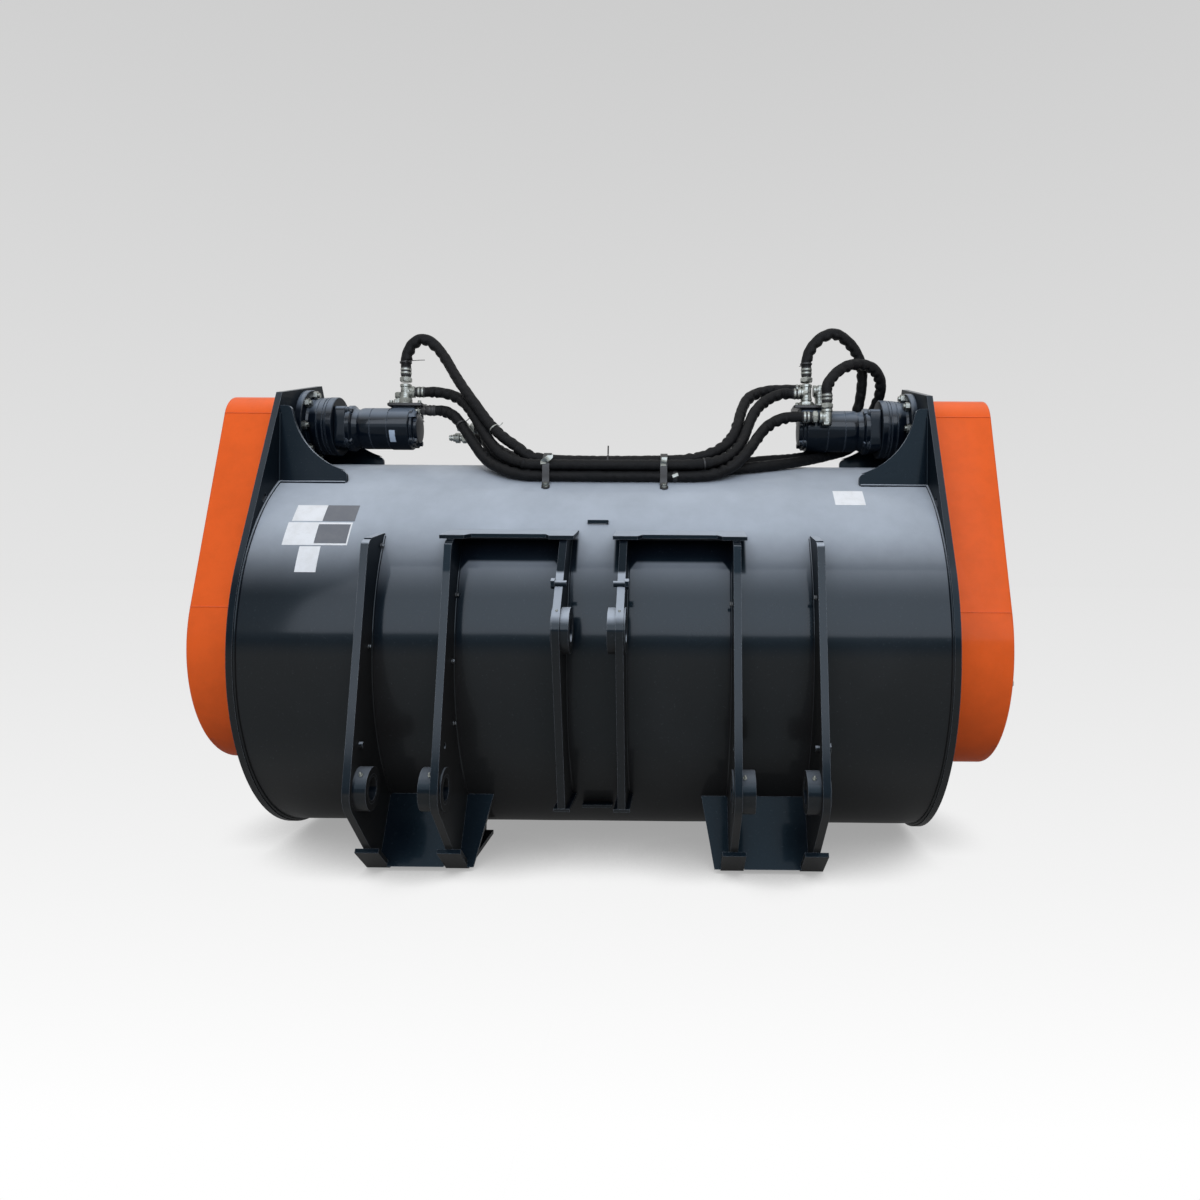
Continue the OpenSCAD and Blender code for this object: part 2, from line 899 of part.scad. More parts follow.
// Motors: a square adapter, a round body with a port block on top and an end cap
adapter_w = 128;
adapter_t = 35;
adapter_edge = 22;
motor_r = 65;
motor_len = 276;
motor_end_x = gear_end_x - motor_len;
motor_in_x = gear_end_x - adapter_t;
rim_step = 8;
rim_w = 14;
neck_step = 4;
neck_w = 10;
band_step = 2;
band_w = 60;
cap_r = 46;
end_cap_len = 24;
port_top = 71;
port_t = 10;
port_over = 4;
port_len = 92;
port_x = [motor_end_x - port_over, motor_end_x - port_over + port_len];
port_half_w = 44;
port_block_end = 12;
port_block_half_w = 33;
side_port_at = 89;
side_port_out = 68;
side_port_up = 18;
side_port_r = 18;

module adapter_outline() {
  w = adapter_w / 2;
  e = adapter_edge;
  translate(motor_at)
    polygon([
      [-w, -w + e], [-w + e, -w], [w - e, -w], [w, -w + e],
      [w, w - e], [w - e, w], [-w + e, w], [-w, w - e]
    ]);
}

module motor() {
  rim_x = motor_in_x - rim_w;
  neck_x = rim_x - neck_w;
  cap_x = motor_end_x + end_cap_len;
  color(paint) {
    across(motor_in_x, gear_end_x)
      adapter_outline();
    turned_x(motor_at, [
      [0, motor_in_x], [motor_r + rim_step, motor_in_x], [motor_r + rim_step, rim_x],
      [motor_r - neck_step, neck_x], [motor_r, neck_x - neck_w], [motor_r, cap_x + neck_step + band_w],
      [motor_r + band_step, cap_x + band_step + band_w], [motor_r + band_step, cap_x + neck_step],
      [cap_r + rim_step, cap_x], [cap_r, cap_x - band_step], [cap_r, motor_end_x + neck_step],
      [cap_r - neck_step, motor_end_x], [0, motor_end_x]
    ]);
    translate([port_x[0] + port_block_end, motor_at[0] - port_block_half_w, axis_h + motor_up])
      cube([port_len - 2 * port_block_end, 2 * port_block_half_w, port_top]);
    translate([
      motor_end_x + side_port_at - side_port_r, motor_at[0] - side_port_out,
      axis_h + motor_up + side_port_up - side_port_r
    ])
      cube([2 * side_port_r, side_port_out, 2 * side_port_r]);
  }
  color(black)
    translate([port_x[0], motor_at[0] - port_half_w, axis_h + motor_up + port_top])
      cube([port_len, 2 * port_half_w, port_t]);
}

// Hose routes, with heights from the top of the shell
// Hose from the top tee of the left motor, over the drum, to the rear port of the right motor
route_left_loop = [
  [-648, -95, 299], [-648, -95, 334], [-632, -95, 374], [-600, -95, 395], [-562, -98, 381],
  [-522, -108, 334], [-470, -140, 254], [-405, -182, 169], [-340, -215, 89], [-265, -243, 32],
  [-175, -258, -8], [190, -258, -9], [300, -250, 6], [370, -225, 44], [402, -190, 97],
  [418, -145, 154], [445, -100, 211], [500, -70, 239], [565, -60, 246], [602, -60, 246]
];
// Hose from the side of the left tee to the right tee
route_left_feed = [
  [-590, -95, 225], [-545, -95, 225], [-480, -116, 206], [-428, -155, 159], [-372, -205, 77],
  [-312, -250, 9], [-240, -280, -22], [-170, -289, -27], [190, -289, -26], [300, -283, -21],
  [365, -264, -3], [400, -240, 27], [422, -214, 63], [440, -180, 111], [460, -148, 156],
  [495, -118, 197], [550, -95, 226], [591, -95, 226]
];
// Drain hose between the lower ports
route_lower = [
  [-552, -108, 164], [-525, -108, 164], [-500, -122, 154], [-468, -150, 129], [-418, -192, 64],
  [-362, -235, -5], [-300, -272, -41], [-235, -288, -58], [-160, -290, -60], [190, -290, -60],
  [300, -288, -57], [355, -280, -44], [400, -276, -17], [440, -255, 29], [466, -208, 69],
  [500, -175, 111], [545, -172, 135], [585, -172, 140], [612, -172, 140]
];
// Supply hose: up from the right tee, over and behind the motor, to the first coupler on the left
route_right_loop = [
  [630, -95, 305], [630, -95, 334], [645, -95, 374], [680, -94, 409], [722, -88, 421],
  [765, -76, 399], [800, -60, 359], [818, -42, 306], [820, -10, 239], [806, 15, 169],
  [765, 25, 101], [690, -10, 53], [600, -90, 21], [500, -150, 6], [400, -200, -11],
  [300, -226, -23], [180, -230, -30], [-190, -230, -30], [-250, -200, -6], [-330, -140, 29],
  [-385, -75, 69], [-430, -60, 84], [-460, -60, 84]
];
// Return hose: up from the side tee, over and behind the motor, to the second coupler
route_right_inner_loop = [
  [684, -172, 209], [684, -172, 239], [712, -150, 279], [755, -122, 311], [805, -97, 322],
  [850, -75, 311], [877, -48, 277], [880, -15, 234], [862, 22, 184], [838, 45, 124],
  [795, 37, 71], [700, -45, 34], [590, -145, 2], [480, -205, -18], [400, -232, -29],
  [300, -256, -41], [180, -261, -44], [-190, -262, -45], [-245, -250, -37], [-315, -215, -9],
  [-360, -185, 34], [-385, -125, 79], [-400, -110, 107], [-422, -110, 107]
];

// First and last point of a route, with heights from the shaft
function route_start(route) = route[0] + [0, 0, drum_r];
function route_end(route) = route[len(route) - 1] + [0, 0, drum_r];

function unit3(v) = v / sqrt(v * v);
function vec_cross(a, b) =
  [a[1] * b[2] - a[2] * b[1], a[2] * b[0] - a[0] * b[2], a[0] * b[1] - a[1] * b[0]];

// Direction of a route at point i
function heading(p, i) =
  i == 0 ? unit3(p[1] - p[0])
  : i == len(p) - 1 ? unit3(p[i] - p[i - 1])
  : unit3(unit3(p[i + 1] - p[i]) + unit3(p[i] - p[i - 1]));

// Side direction carried along a route without twisting
function carried(p, i, start) =
  i == 0 ? unit3(start - heading(p, 0) * (start * heading(p, 0)))
  : let (before = carried(p, i - 1, start), along = heading(p, i))
    unit3(before - along * (before * along));

// Tube swept along a route
module tube(p, d, sides) {
  start = [0, 1, 0.1];
  ring_points = [
    for (i = [0 : len(p) - 1])
      let (along = heading(p, i), a = carried(p, i, start), b = vec_cross(along, a))
        for (k = [0 : sides - 1])
          p[i] + (a * cos(360 * k / sides) + b * sin(360 * k / sides)) * d / 2
  ];
  walls = [
    for (i = [0 : len(p) - 2], k = [0 : sides - 1])
      let (n = (k + 1) % sides)
        each [
          [i * sides + k, (i + 1) * sides + k, (i + 1) * sides + n],
          [i * sides + k, (i + 1) * sides + n, i * sides + n]
        ]
  ];
  first_end = [[for (k = [0 : sides - 1]) k]];
  last_end = [[for (k = [sides - 1 : -1 : 0]) (len(p) - 1) * sides + k]];
  translate([0, 0, axis_h + drum_r])
    polyhedron(ring_points, concat(walls, first_end, last_end));
}

module hose(route) {
  color(black)
    tube(route, hose_d, hose_sides);
}

// Ferrule of two crimped rings with a swivel nut, along +Z from its hose end
ferrule_len = 26;
ferrule_step = 2;
ferrule_r = hose_d / 2 + ferrule_step;
ferrule_ring_share = [0.4, 0.55, 0.3];
swivel_flats = 36;
swivel_h = 16;

module ferrule() {
  cylinder(h = ferrule_len * ferrule_ring_share[0], r = ferrule_r);
  cylinder(h = ferrule_len, r = ferrule_r - ferrule_step);
  translate([0, 0, ferrule_len * ferrule_ring_share[1]])
    cylinder(h = ferrule_len * ferrule_ring_share[2], r = ferrule_r);
  translate([0, 0, ferrule_len])
    cylinder(h = swivel_h, d = swivel_flats / cos(30), $fn = 6);
}

fitting_r = 15;
drain_r = 8;
base_r = 24;

// Upright pipe piece with a hexagon foot, from a port face up to a height
module riser(x, y, from_z, to_z) {
  translate([x, y, axis_h + from_z])
    cylinder(h = to_z - from_z, r = fitting_r);
  translate([x, y, axis_h + from_z])
    cylinder(h = swivel_h, r = base_r, $fn = 6);
}

// Ferrule at the start or end of a route, turned to lead away from the hose
module ferrule_at(p, turn) {
  translate([p[0], p[1], axis_h + p[2]])
    rotate(turn)
      ferrule();
}

// Short pipe along X from the nut of a ferrule to a riser or a port
module branch(from_x, to_x, at, r) {
  bar_x(at, min(from_x, to_x), max(from_x, to_x), r);
}

port_face = motor_up + port_top + port_t;
nut_end = ferrule_len + swivel_h;

module left_fittings() {
  loop = route_start(route_left_loop);
  feed = route_start(route_left_feed);
  low = route_start(route_lower);
  color(zinc) {
    riser(loop[0], loop[1], port_face, loop[2] - nut_end);
    ferrule_at(loop, [180, 0, 0]);
    ferrule_at(feed, [0, -90, 0]);
    branch(feed[0] - nut_end, loop[0], [feed[1], feed[2]], fitting_r);
    ferrule_at(low, [0, -90, 0]);
    branch(low[0] - nut_end, -port_x[0] - port_block_end, [low[1], low[2]], drain_r);
  }
}

module right_fittings() {
  loop = route_start(route_right_loop);
  inner = route_start(route_right_inner_loop);
  far_end = route_end(route_left_loop);
  feed_end = route_end(route_left_feed);
  low_end = route_end(route_lower);
  far_x = loop[0] + 2 * base_r;
  side_z = motor_up + side_port_up;
  color(zinc) {
    riser(loop[0], loop[1], port_face, loop[2] - nut_end);
    ferrule_at(loop, [180, 0, 0]);
    ferrule_at(feed_end, [0, 90, 0]);
    ferrule_at(far_end, [0, 90, 0]);
    branch(far_end[0] + nut_end, far_x + fitting_r, [far_end[1], far_end[2]], fitting_r);
    riser(far_x, far_end[1], port_face, far_end[2]);
    ferrule_at(inner, [180, 0, 0]);
    translate([inner[0], inner[1], axis_h + low_end[2] - fitting_r])
      cylinder(h = inner[2] - nut_end - low_end[2] + fitting_r, r = fitting_r);
    ferrule_at(low_end, [0, 90, 0]);
    branch(low_end[0] + nut_end, inner[0], [low_end[1], low_end[2]], fitting_r);
    translate([inner[0], motor_at[0] - side_port_out, axis_h + side_z])
      rotate([90, 0, 0])
        cylinder(h = motor_at[0] - side_port_out - inner[1], r = fitting_r);
  }
}

// Quick couplers on the free ends of the supply and return hoses
coupler_len = 46;
coupler_r = 17;
coupler_step = 3;
coupler_share = [0.3, 0.4, 0.35, 0.85];

module coupler(p) {
  translate([p[0], p[1], axis_h + p[2]])
    rotate([0, -90, 0]) {
      cylinder(h = coupler_len * coupler_share[0], d = swivel_flats / cos(30), $fn = 6);
      cylinder(h = coupler_len * coupler_share[3], r = coupler_r - coupler_step);
      translate([0, 0, coupler_len * coupler_share[1]])
        cylinder(h = coupler_len * coupler_share[2], r = coupler_r);
      cylinder(h = coupler_len, r = coupler_r / 2);
    }
}

module quick_couplers() {
  color(zinc)
    for (route = [route_right_loop, route_right_inner_loop])
      coupler(route_end(route));
}

// Hose clamps: a saddle over the hose bundle, bolted to a pad on the shell
clamp_x = [-168, 178];
clamp_w = 26;
clamp_t = 4;
clamp_shares = [-0.557, -0.357];
clamp_near = drum_r * clamp_shares[0];
clamp_far = drum_r * clamp_shares[1];
clamp_share = 2.3;
clamp_in_r = drum_r + clamp_share * hose_d;

module clamp_outline() {
  difference() {
    sector(clamp_in_r + clamp_t, clamp_near, clamp_far);
    sector_inside();
    circle(r = drum_r, $fn = 128);
  }
}

module sector(r, y_a, y_b) {
  intersection() {
    circle(r = r, $fn = 128);
    translate([y_a, 0])
      square([y_b - y_a, reach]);
  }
}

module sector_inside() {
  sector(clamp_in_r, clamp_near + clamp_t, clamp_far - clamp_t);
}

module hose_clamps() {
  mid = (clamp_near + clamp_far) / 2;
  color(zinc)
    for (x = clamp_x) {
      across(x - clamp_w / 2, x + clamp_w / 2)
        clamp_outline();
      translate([x - clamp_w / 4, mid, axis_h + height_at(clamp_in_r, mid)])
        cylinder(h = clamp_w / 2, r = clamp_w / 5);
    }
}

// Chain drive
sprocket_out = 105;
sprocket_x = side_x + sprocket_out;
hub_len = 52;
line_a = atan2(motor_up, -motor_back);
half_a = acos((driven_r - drive_r) / centre_gap);
line_len = centre_gap * sin(half_a);
driven_arc = driven_teeth * pitch * (360 - 2 * half_a) / 360;
drive_arc = drive_teeth * pitch * 2 * half_a / 360;

// Place on the chain line at distance s from the rear tangent point of the driven sprocket
function chain_at(s) =
  s < driven_arc ? driven_r * turn_dir(line_a + half_a + s / driven_r * deg_r)
  : s < driven_arc + line_len ?
    driven_r * turn_dir(line_a - half_a) + (s - driven_arc) * turn_dir(line_a - half_a + 90)
  : s < driven_arc + line_len + drive_arc ?
    motor_at + drive_r * turn_dir(line_a - half_a + (s - driven_arc - line_len) / drive_r * deg_r)
  : motor_at + drive_r * turn_dir(line_a + half_a)
    + (s - driven_arc - line_len - drive_arc) * turn_dir(line_a + half_a + 90);
function turn_dir(a) = [cos(a), sin(a)];

// Turn of each sprocket at which a tooth gap meets a roller
driven_start = line_a + half_a;
drive_start = line_a - half_a
  - (driven_arc + line_len) % pitch / drive_r * deg_r;

tooth_gap = 0.5;
tooth_h_share = 0.28;
tooth_flare_share = 0.32;

// One tooth gap, opening outwards along +X
module tooth_space() {
  r = roller_d / 2 + tooth_gap;
  flare = roller_d * tooth_flare_share;
  circle(r = r, $fn = 32);
  polygon([[0, -r], [roller_d, -r - flare * 2], [roller_d, r + flare * 2], [0, r]]);
}

module sprocket_outline(teeth, start, pitch_r) {
  difference() {
    circle(r = pitch_r + pitch * tooth_h_share, $fn = 128);
    for (i = [0 : teeth - 1])
      rotate(start + 360 / teeth * i)
        translate([pitch_r, 0])
          tooth_space();
  }
}

hub_share = 1.8;
small_hub_share = 1.6;

module driven_sprocket() {
  holes = 6;
  web_mid = (driven_r + tube_r) / 2;
  color(steel)
    difference() {
      union() {
        across(sprocket_x - tooth_t / 2, sprocket_x + tooth_t / 2)
          difference() {
            sprocket_outline(driven_teeth, driven_start, driven_r);
            for (i = [0 : holes - 1])
              rotate(360 / holes * i)
                translate([web_mid, 0])
                  circle(r = web_mid / 3);
          }
        bar_x([0, 0], sprocket_x - hub_len / 2, sprocket_x + hub_len / 2, stub_r * hub_share);
      }
      bar_x([0, 0], side_x, cover_x, stub_r + seat_gap);
    }
}

module drive_sprocket() {
  color(steel)
    difference() {
      union() {
        across(sprocket_x - tooth_t / 2, sprocket_x + tooth_t / 2)
          translate(motor_at)
            sprocket_outline(drive_teeth, drive_start, drive_r);
        bar_x(
          motor_at, sprocket_x - hub_len / 2, sprocket_x + hub_len / 2, drive_shaft_r * small_hub_share
        );
      }
      bar_x(motor_at, side_x, cover_x, drive_shaft_r + seat_gap);
    }
}

module drive_shaft() {
  end_x = sprocket_x + hub_len / 2 + 2 * link_t;
  color(steel) {
    bar_x(motor_at, plate_x - shaft_depth + cut, end_x, drive_shaft_r);
    hex_x(motor_at, end_x, end_x + 3 * link_t, 2 * drive_shaft_r);
  }
}

// Roller chain: rollers on their pins, with inner and outer link plates by turns
link_half_h = 12.5;
link_waist = 9;
pin_r = 4.8;
plate_gap = 0.4;
tooth_room = 1;
link_in = tooth_t / 2 + tooth_room;

module link_plates(first) {
  for (i = [first : 2 : chain_links - 1]) {
    a = chain_at(i * pitch);
    b = chain_at((i + 1) * pitch);
    d = b - a;
    translate(a)
      circle(r = link_half_h, $fn = 24);
    translate(b)
      circle(r = link_half_h, $fn = 24);
    translate(a)
      rotate(atan2(d[1], d[0]))
        translate([0, -link_waist])
          square([len2(d), 2 * link_waist]);
  }
}

module chain_pins(r) {
  for (i = [0 : chain_links - 1])
    translate(chain_at(i * pitch))
      circle(r = r, $fn = 24);
}

module chain() {
  plate_in = link_in + link_t;
  outer_in = plate_in + plate_gap;
  outer_out = outer_in + link_t;
  color(worn_steel) {
    across(sprocket_x - link_in, sprocket_x + link_in)
      chain_pins(roller_d / 2);
    for (side = [-1, 1]) {
      slab(side, link_in, plate_in)
        link_plates(0);
      slab(side, plate_in, outer_in)
        chain_pins(pin_r);
      slab(side, outer_in, outer_out)
        link_plates(1);
      slab(side, outer_out, outer_out + link_t / 2)
        chain_pins(pin_r);
    }
  }
}

// Extrusion between two distances from the sprocket plane, on one side of it
module slab(side, near, far) {
  across(sprocket_x + min(side * near, side * far), sprocket_x + max(side * near, side * far))
    children();
}

// Mixing shaft and its bearings
seal_t = 20;
seal_w = 30;
tube_gap = 7;
tube_end = plate_x - seal_t - tube_gap;
bearing_flange_t = 20;
bearing_flange_r = 105;
bearing_bolt_ring = 84;
bearing_hub_r = 66;
bearing_len = 54;

washer_t = 10;
washer_share = 1.4;

module mixing_shaft() {
  stub_end = sprocket_x + hub_len / 2 + tooth_room;
  color(steel) {
    bar_x([0, 0], -tube_end, tube_end, tube_r);
    bar_x([0, 0], -stub_end, stub_end, stub_r);
    both_sides() {
      bar_x([0, 0], stub_end, stub_end + washer_t, stub_r * washer_share);
      hex_x([0, 0], stub_end + washer_t, stub_end + washer_t + nut_h, stub_r);
    }
  }
}

module bearing() {
  color(paint)
    difference() {
      union() {
        bar_x([0, 0], side_x, side_x + bearing_flange_t, bearing_flange_r);
        bar_x([0, 0], side_x, side_x + bearing_len, bearing_hub_r);
      }
      bar_x([0, 0], side_x - cut, side_x + bearing_len + cut, stub_r + run_gap);
    }
}

module shaft_seals() {
  color(black)
    both_sides()
      difference() {
        bar_x([0, 0], plate_x - seal_t, plate_x, shaft_hole_r + seal_w);
        bar_x([0, 0], plate_x - seal_t - cut, plate_x + cut, stub_r + run_gap);
      }
}

// Helical ribbons of opposite hand, one on each half of the shaft, and the arms that carry them
ribbon_end_gap = 24;
ribbon_start = tube_end - ribbon_end_gap;
ribbon_stop = 30;
ribbon_steps = 60;
ribbon_first_angle = 20;

function ribbon_x(share) = ribbon_start + (ribbon_stop - ribbon_start) * share;
function ribbon_a(share) = ribbon_first_angle + ribbon_turn * share;

// Corner of the ribbon at a share of its length
function ribbon_corner(share, r, shift) =
  [ribbon_x(share) + shift, r * sin(ribbon_a(share)), r * cos(ribbon_a(share))];

module ribbon() {
  in_r = ribbon_r - ribbon_w;
  half = ribbon_t / 2;
  corners = [[in_r, -half], [ribbon_r, -half], [ribbon_r, half], [in_r, half]];
  ring_points = [
    for (i = [0 : ribbon_steps], c = corners)
      ribbon_corner(i / ribbon_steps, c[0], c[1])
  ];
  walls = [
    for (i = [0 : ribbon_steps - 1], k = [0 : 3])
      let (n = (k + 1) % 4)
        each [
          [i * 4 + k, i * 4 + n, (i + 1) * 4 + n],
          [i * 4 + k, (i + 1) * 4 + n, (i + 1) * 4 + k]
        ]
  ];
  ends = [[3, 2, 1, 0], [for (k = [0 : 3]) ribbon_steps * 4 + k]];
  color(worn_steel)
    translate([0, 0, axis_h])
      polyhedron(ring_points, concat(walls, ends));
}

arm_seat = 1.2;
arm_first_share = 0.2;
arm_last_share = 0.6;

module mixer_arm(share) {
  translate([ribbon_x(share), 0, axis_h])
    rotate([-ribbon_a(share), 0, 0])
      cylinder(h = ribbon_r - ribbon_w - arm_seat, r = arm_r);
}

module mixer_arms() {
  color(steel)
    both_sides()
      difference() {
        for (i = [0 : ribbon_arms - 1])
          mixer_arm((i + arm_first_share) / (ribbon_arms - arm_last_share));
        bar_x([0, 0], 0, tube_end, tube_r);
      }
}

// Grate: curved ribs and round bars over the mouth, hinged on the beam
grate_in = plate_r + grate_lift;
grate_out = grate_in + rib_h;
grate_angle = 90 - atan2(cheek_touch[1], cheek_touch[0]);
cheek_dir = (lip_tip - cheek_touch) / len2(lip_tip - cheek_touch);
lip_clear = 90;
straight_len = len2(lip_tip - cheek_touch) - lip_clear;
hinge_lead_angle = 1.5;
hinge_share = 0.75;
hinge_angle = mouth_angle + hinge_lead_angle;
hinge_r = grate_in + rib_h * hinge_share;
hinge_at = from_top(hinge_r, hinge_angle);
hinge_pin_r = 10;
knuckle_r = 22;
side_gap = 12;
grate_x = plate_x - side_gap;

module rib_outline() {
  face = from_top(1, grate_angle);
  difference() {
    circle(r = grate_out, $fn = 128);
    circle(r = grate_in, $fn = 128);
    polygon([
      [0, 0], from_top(reach, grate_angle), [reach, -reach], [-reach, -reach], [-reach, reach],
      from_top(reach, hinge_angle)
    ]);
  }
  polygon([
    face * grate_in, face * grate_out, face * grate_out + cheek_dir * straight_len,
    face * grate_in + cheek_dir * straight_len
  ]);
  translate(hinge_at)
    circle(r = knuckle_r);
}

function rib_place(i) = -grate_x + (2 * grate_x - rib_t) / (rib_count - 1) * i;

// Shares of a bar pitch: room past the curved bars, before the first curved bar and before a straight one
bar_shares = [0.5, 0.2, 0.75];

module cross_bar(at) {
  bar_x(at, -grate_x + rib_t / 2, grate_x - rib_t / 2, bar_d / 2);
}

module grate() {
  mid = (grate_in + grate_out) / 2;
  face = from_top(1, grate_angle);
  round_pitch = (grate_angle - hinge_angle) / (bars_round + bar_shares[0]);
  straight_pitch = straight_len / bars_straight;
  color(paint)
    difference() {
      union() {
        for (i = [0 : rib_count - 1])
          across(rib_place(i), rib_place(i) + rib_t)
            rib_outline();
        for (i = [1 : bars_round])
          cross_bar(from_top(mid, hinge_angle + round_pitch * (i + bar_shares[1])));
        for (i = [0 : bars_straight - 1])
          cross_bar(face * mid + cheek_dir * straight_pitch * (i + bar_shares[2]));
      }
      bar_x(hinge_at, -side_x, side_x, hinge_pin_r + run_gap);
    }
}

// Hinge brackets on the beam, beside the second rib from each end, and the pins through them
bracket_t = 12;
bracket_gap = 2;
hinge_rib = 1;

function bracket_places() = [
  rib_place(hinge_rib) - bracket_gap - bracket_t, rib_place(hinge_rib) + rib_t + bracket_gap,
  rib_place(rib_count - 1 - hinge_rib) - bracket_gap - bracket_t,
  rib_place(rib_count - 1 - hinge_rib) + rib_t + bracket_gap
];

module bracket_outline() {
  difference() {
    union() {
      translate(hinge_at)
        circle(r = knuckle_r);
      polygon([
        hinge_at, from_top(hinge_r + knuckle_r, hinge_angle), from_top(hinge_r, beam_angle),
        from_top(drum_r, beam_angle), from_top(drum_r, mouth_angle), from_top(hinge_r - knuckle_r, hinge_angle)
      ]);
    }
    translate(hinge_at)
      circle(r = hinge_pin_r + seat_gap);
    circle(r = drum_r, $fn = 128);
    rotate(-beam_angle)
      translate([-beam_w / 2, 0])
        square([beam_w, drum_r + beam_w]);
  }
}

module grate_brackets() {
  color(paint)
    for (x = bracket_places())
      across(x, x + bracket_t)
        bracket_outline();
}

module grate_pins() {
  places = bracket_places();
  color(zinc)
    for (i = [0, 2]) {
      head_x = places[i] - bracket_gap;
      bar_x(hinge_at, head_x, places[i + 1] + bracket_t + bracket_gap, hinge_pin_r);
      bar_x(hinge_at, head_x - bracket_t / 2, head_x, 3 * hinge_pin_r / 2);
    }
}

drum_shell();
left_side() end_plate();  // left_end_plate
end_plate();  // right_end_plate
lip_plate();
cutting_edge();
cutting_edge_bolts();
mouth_beam();
left_side() lift_lug(outer_lug_x);  // left_outer_lift_lug
left_side() lift_lug(inner_lug_x);  // left_inner_lift_lug
lift_lug(inner_lug_x);  // right_inner_lift_lug
lift_lug(outer_lug_x);  // right_outer_lift_lug
left_side() tilt_lug();  // left_tilt_lug
tilt_lug();  // right_tilt_lug
lift_bosses();
tilt_bosses();
lift_bushes();
tilt_bushes();
lug_caps();
cross_plates();
foot_strips();
tilt_lug_pads();
shell_tabs();
motor_gussets();
left_side() chain_cover();  // left_chain_cover
chain_cover();  // right_chain_cover
cover_posts();
cover_bolts();
left_side() gearbox();  // left_gearbox
gearbox();  // right_gearbox
left_side() motor();  // left_motor
motor();  // right_motor
flange_studs();
left_fittings();
right_fittings();
left_side() drive_shaft();  // left_drive_shaft
drive_shaft();  // right_drive_shaft
left_side() drive_sprocket();  // left_drive_sprocket
drive_sprocket();  // right_drive_sprocket
left_side() driven_sprocket();  // left_driven_sprocket
driven_sprocket();  // right_driven_sprocket
left_side() chain();  // left_chain
chain();  // right_chain
mixing_shaft();
left_side() ribbon();  // left_ribbon
ribbon();  // right_ribbon
mixer_arms();
left_side() bearing();  // left_bearing
bearing();  // right_bearing
shaft_seals();
grate();
grate_brackets();
grate_pins();
hose(route_left_loop);  // left_loop_hose
hose(route_left_feed);  // left_feed_hose
hose(route_lower);  // lower_hose
hose(route_right_loop);  // right_loop_hose
hose(route_right_inner_loop);  // right_inner_loop_hose
hose_clamps();
quick_couplers();
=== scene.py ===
"""Looks of a concrete mixing bucket: finishes for its plates and machine parts, and the pieces that only
the looks need, such as sleeved hoses, weld beads, cable ties and blank labels.
Places are in metres. X runs across the bucket, +Y points to its mouth and Z is up. The sizes of turned
shapes, blocks, plates, bands and fasteners are in millimetres."""
import math
import bpy
import numpy as np
from mathutils import Matrix, Vector


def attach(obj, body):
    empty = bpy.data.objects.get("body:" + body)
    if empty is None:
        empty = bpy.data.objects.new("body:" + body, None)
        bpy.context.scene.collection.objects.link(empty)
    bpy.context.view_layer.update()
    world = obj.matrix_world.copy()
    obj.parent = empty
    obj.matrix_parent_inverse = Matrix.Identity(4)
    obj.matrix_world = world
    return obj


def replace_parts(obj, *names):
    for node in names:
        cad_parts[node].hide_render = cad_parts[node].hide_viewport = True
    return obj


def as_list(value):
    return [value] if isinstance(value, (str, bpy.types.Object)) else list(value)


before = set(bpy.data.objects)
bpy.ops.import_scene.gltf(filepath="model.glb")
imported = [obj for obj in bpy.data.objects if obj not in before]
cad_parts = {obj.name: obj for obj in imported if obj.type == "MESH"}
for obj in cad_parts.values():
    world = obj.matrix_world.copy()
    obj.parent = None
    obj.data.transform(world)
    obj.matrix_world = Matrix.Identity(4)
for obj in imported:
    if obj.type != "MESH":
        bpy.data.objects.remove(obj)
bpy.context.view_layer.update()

# Sizes that the looks share with the plates
axis_z = 0.6
drum_r = 0.571
side_x = 0.98
plate_x = 0.962
motor_y, motor_z = -0.083, 1.286
cover_r, cover_top_r = 0.38024, 0.09101
motor_drop, port_rise = 0.006, 0.0765
shell_t = 0.008
full_turn = 2 * math.pi

# Where the camera stands, and the tone of the backdrop at the horizon
camera_place = (0.226, -3.023, 0.826)
horizon = (0.775, 0.775, 0.775)


# Camera

def new_object(name, data):
    """An object with that data, linked to the scene."""
    made = bpy.data.objects.new(name, data)
    bpy.context.scene.collection.objects.link(made)
    return made


def make_camera():
    """Stands three metres behind the bucket, a little right of its middle, at the height of its shaft."""
    yaw, pitch, roll = math.radians(0.37), math.radians(-0.35), math.radians(-0.41)
    right = Vector((math.cos(yaw), math.sin(yaw), 0))
    ahead = Vector((-math.sin(yaw) * math.cos(pitch), math.cos(yaw) * math.cos(pitch), -math.sin(pitch)))
    down = ahead.cross(right)
    level = math.cos(roll) * right + math.sin(roll) * down
    below = math.cos(roll) * down - math.sin(roll) * right
    data = bpy.data.cameras.new("camera")
    data.sensor_width, data.lens = 36, 27.57
    data.shift_x, data.shift_y = -0.06025, -0.02775
    camera = new_object("camera", data)
    facing = Matrix((level, -below, -ahead)).transposed()
    camera.matrix_world = Matrix.Translation(camera_place) @ facing.to_4x4()
    bpy.context.scene.camera = camera


make_camera()


# Surfaces

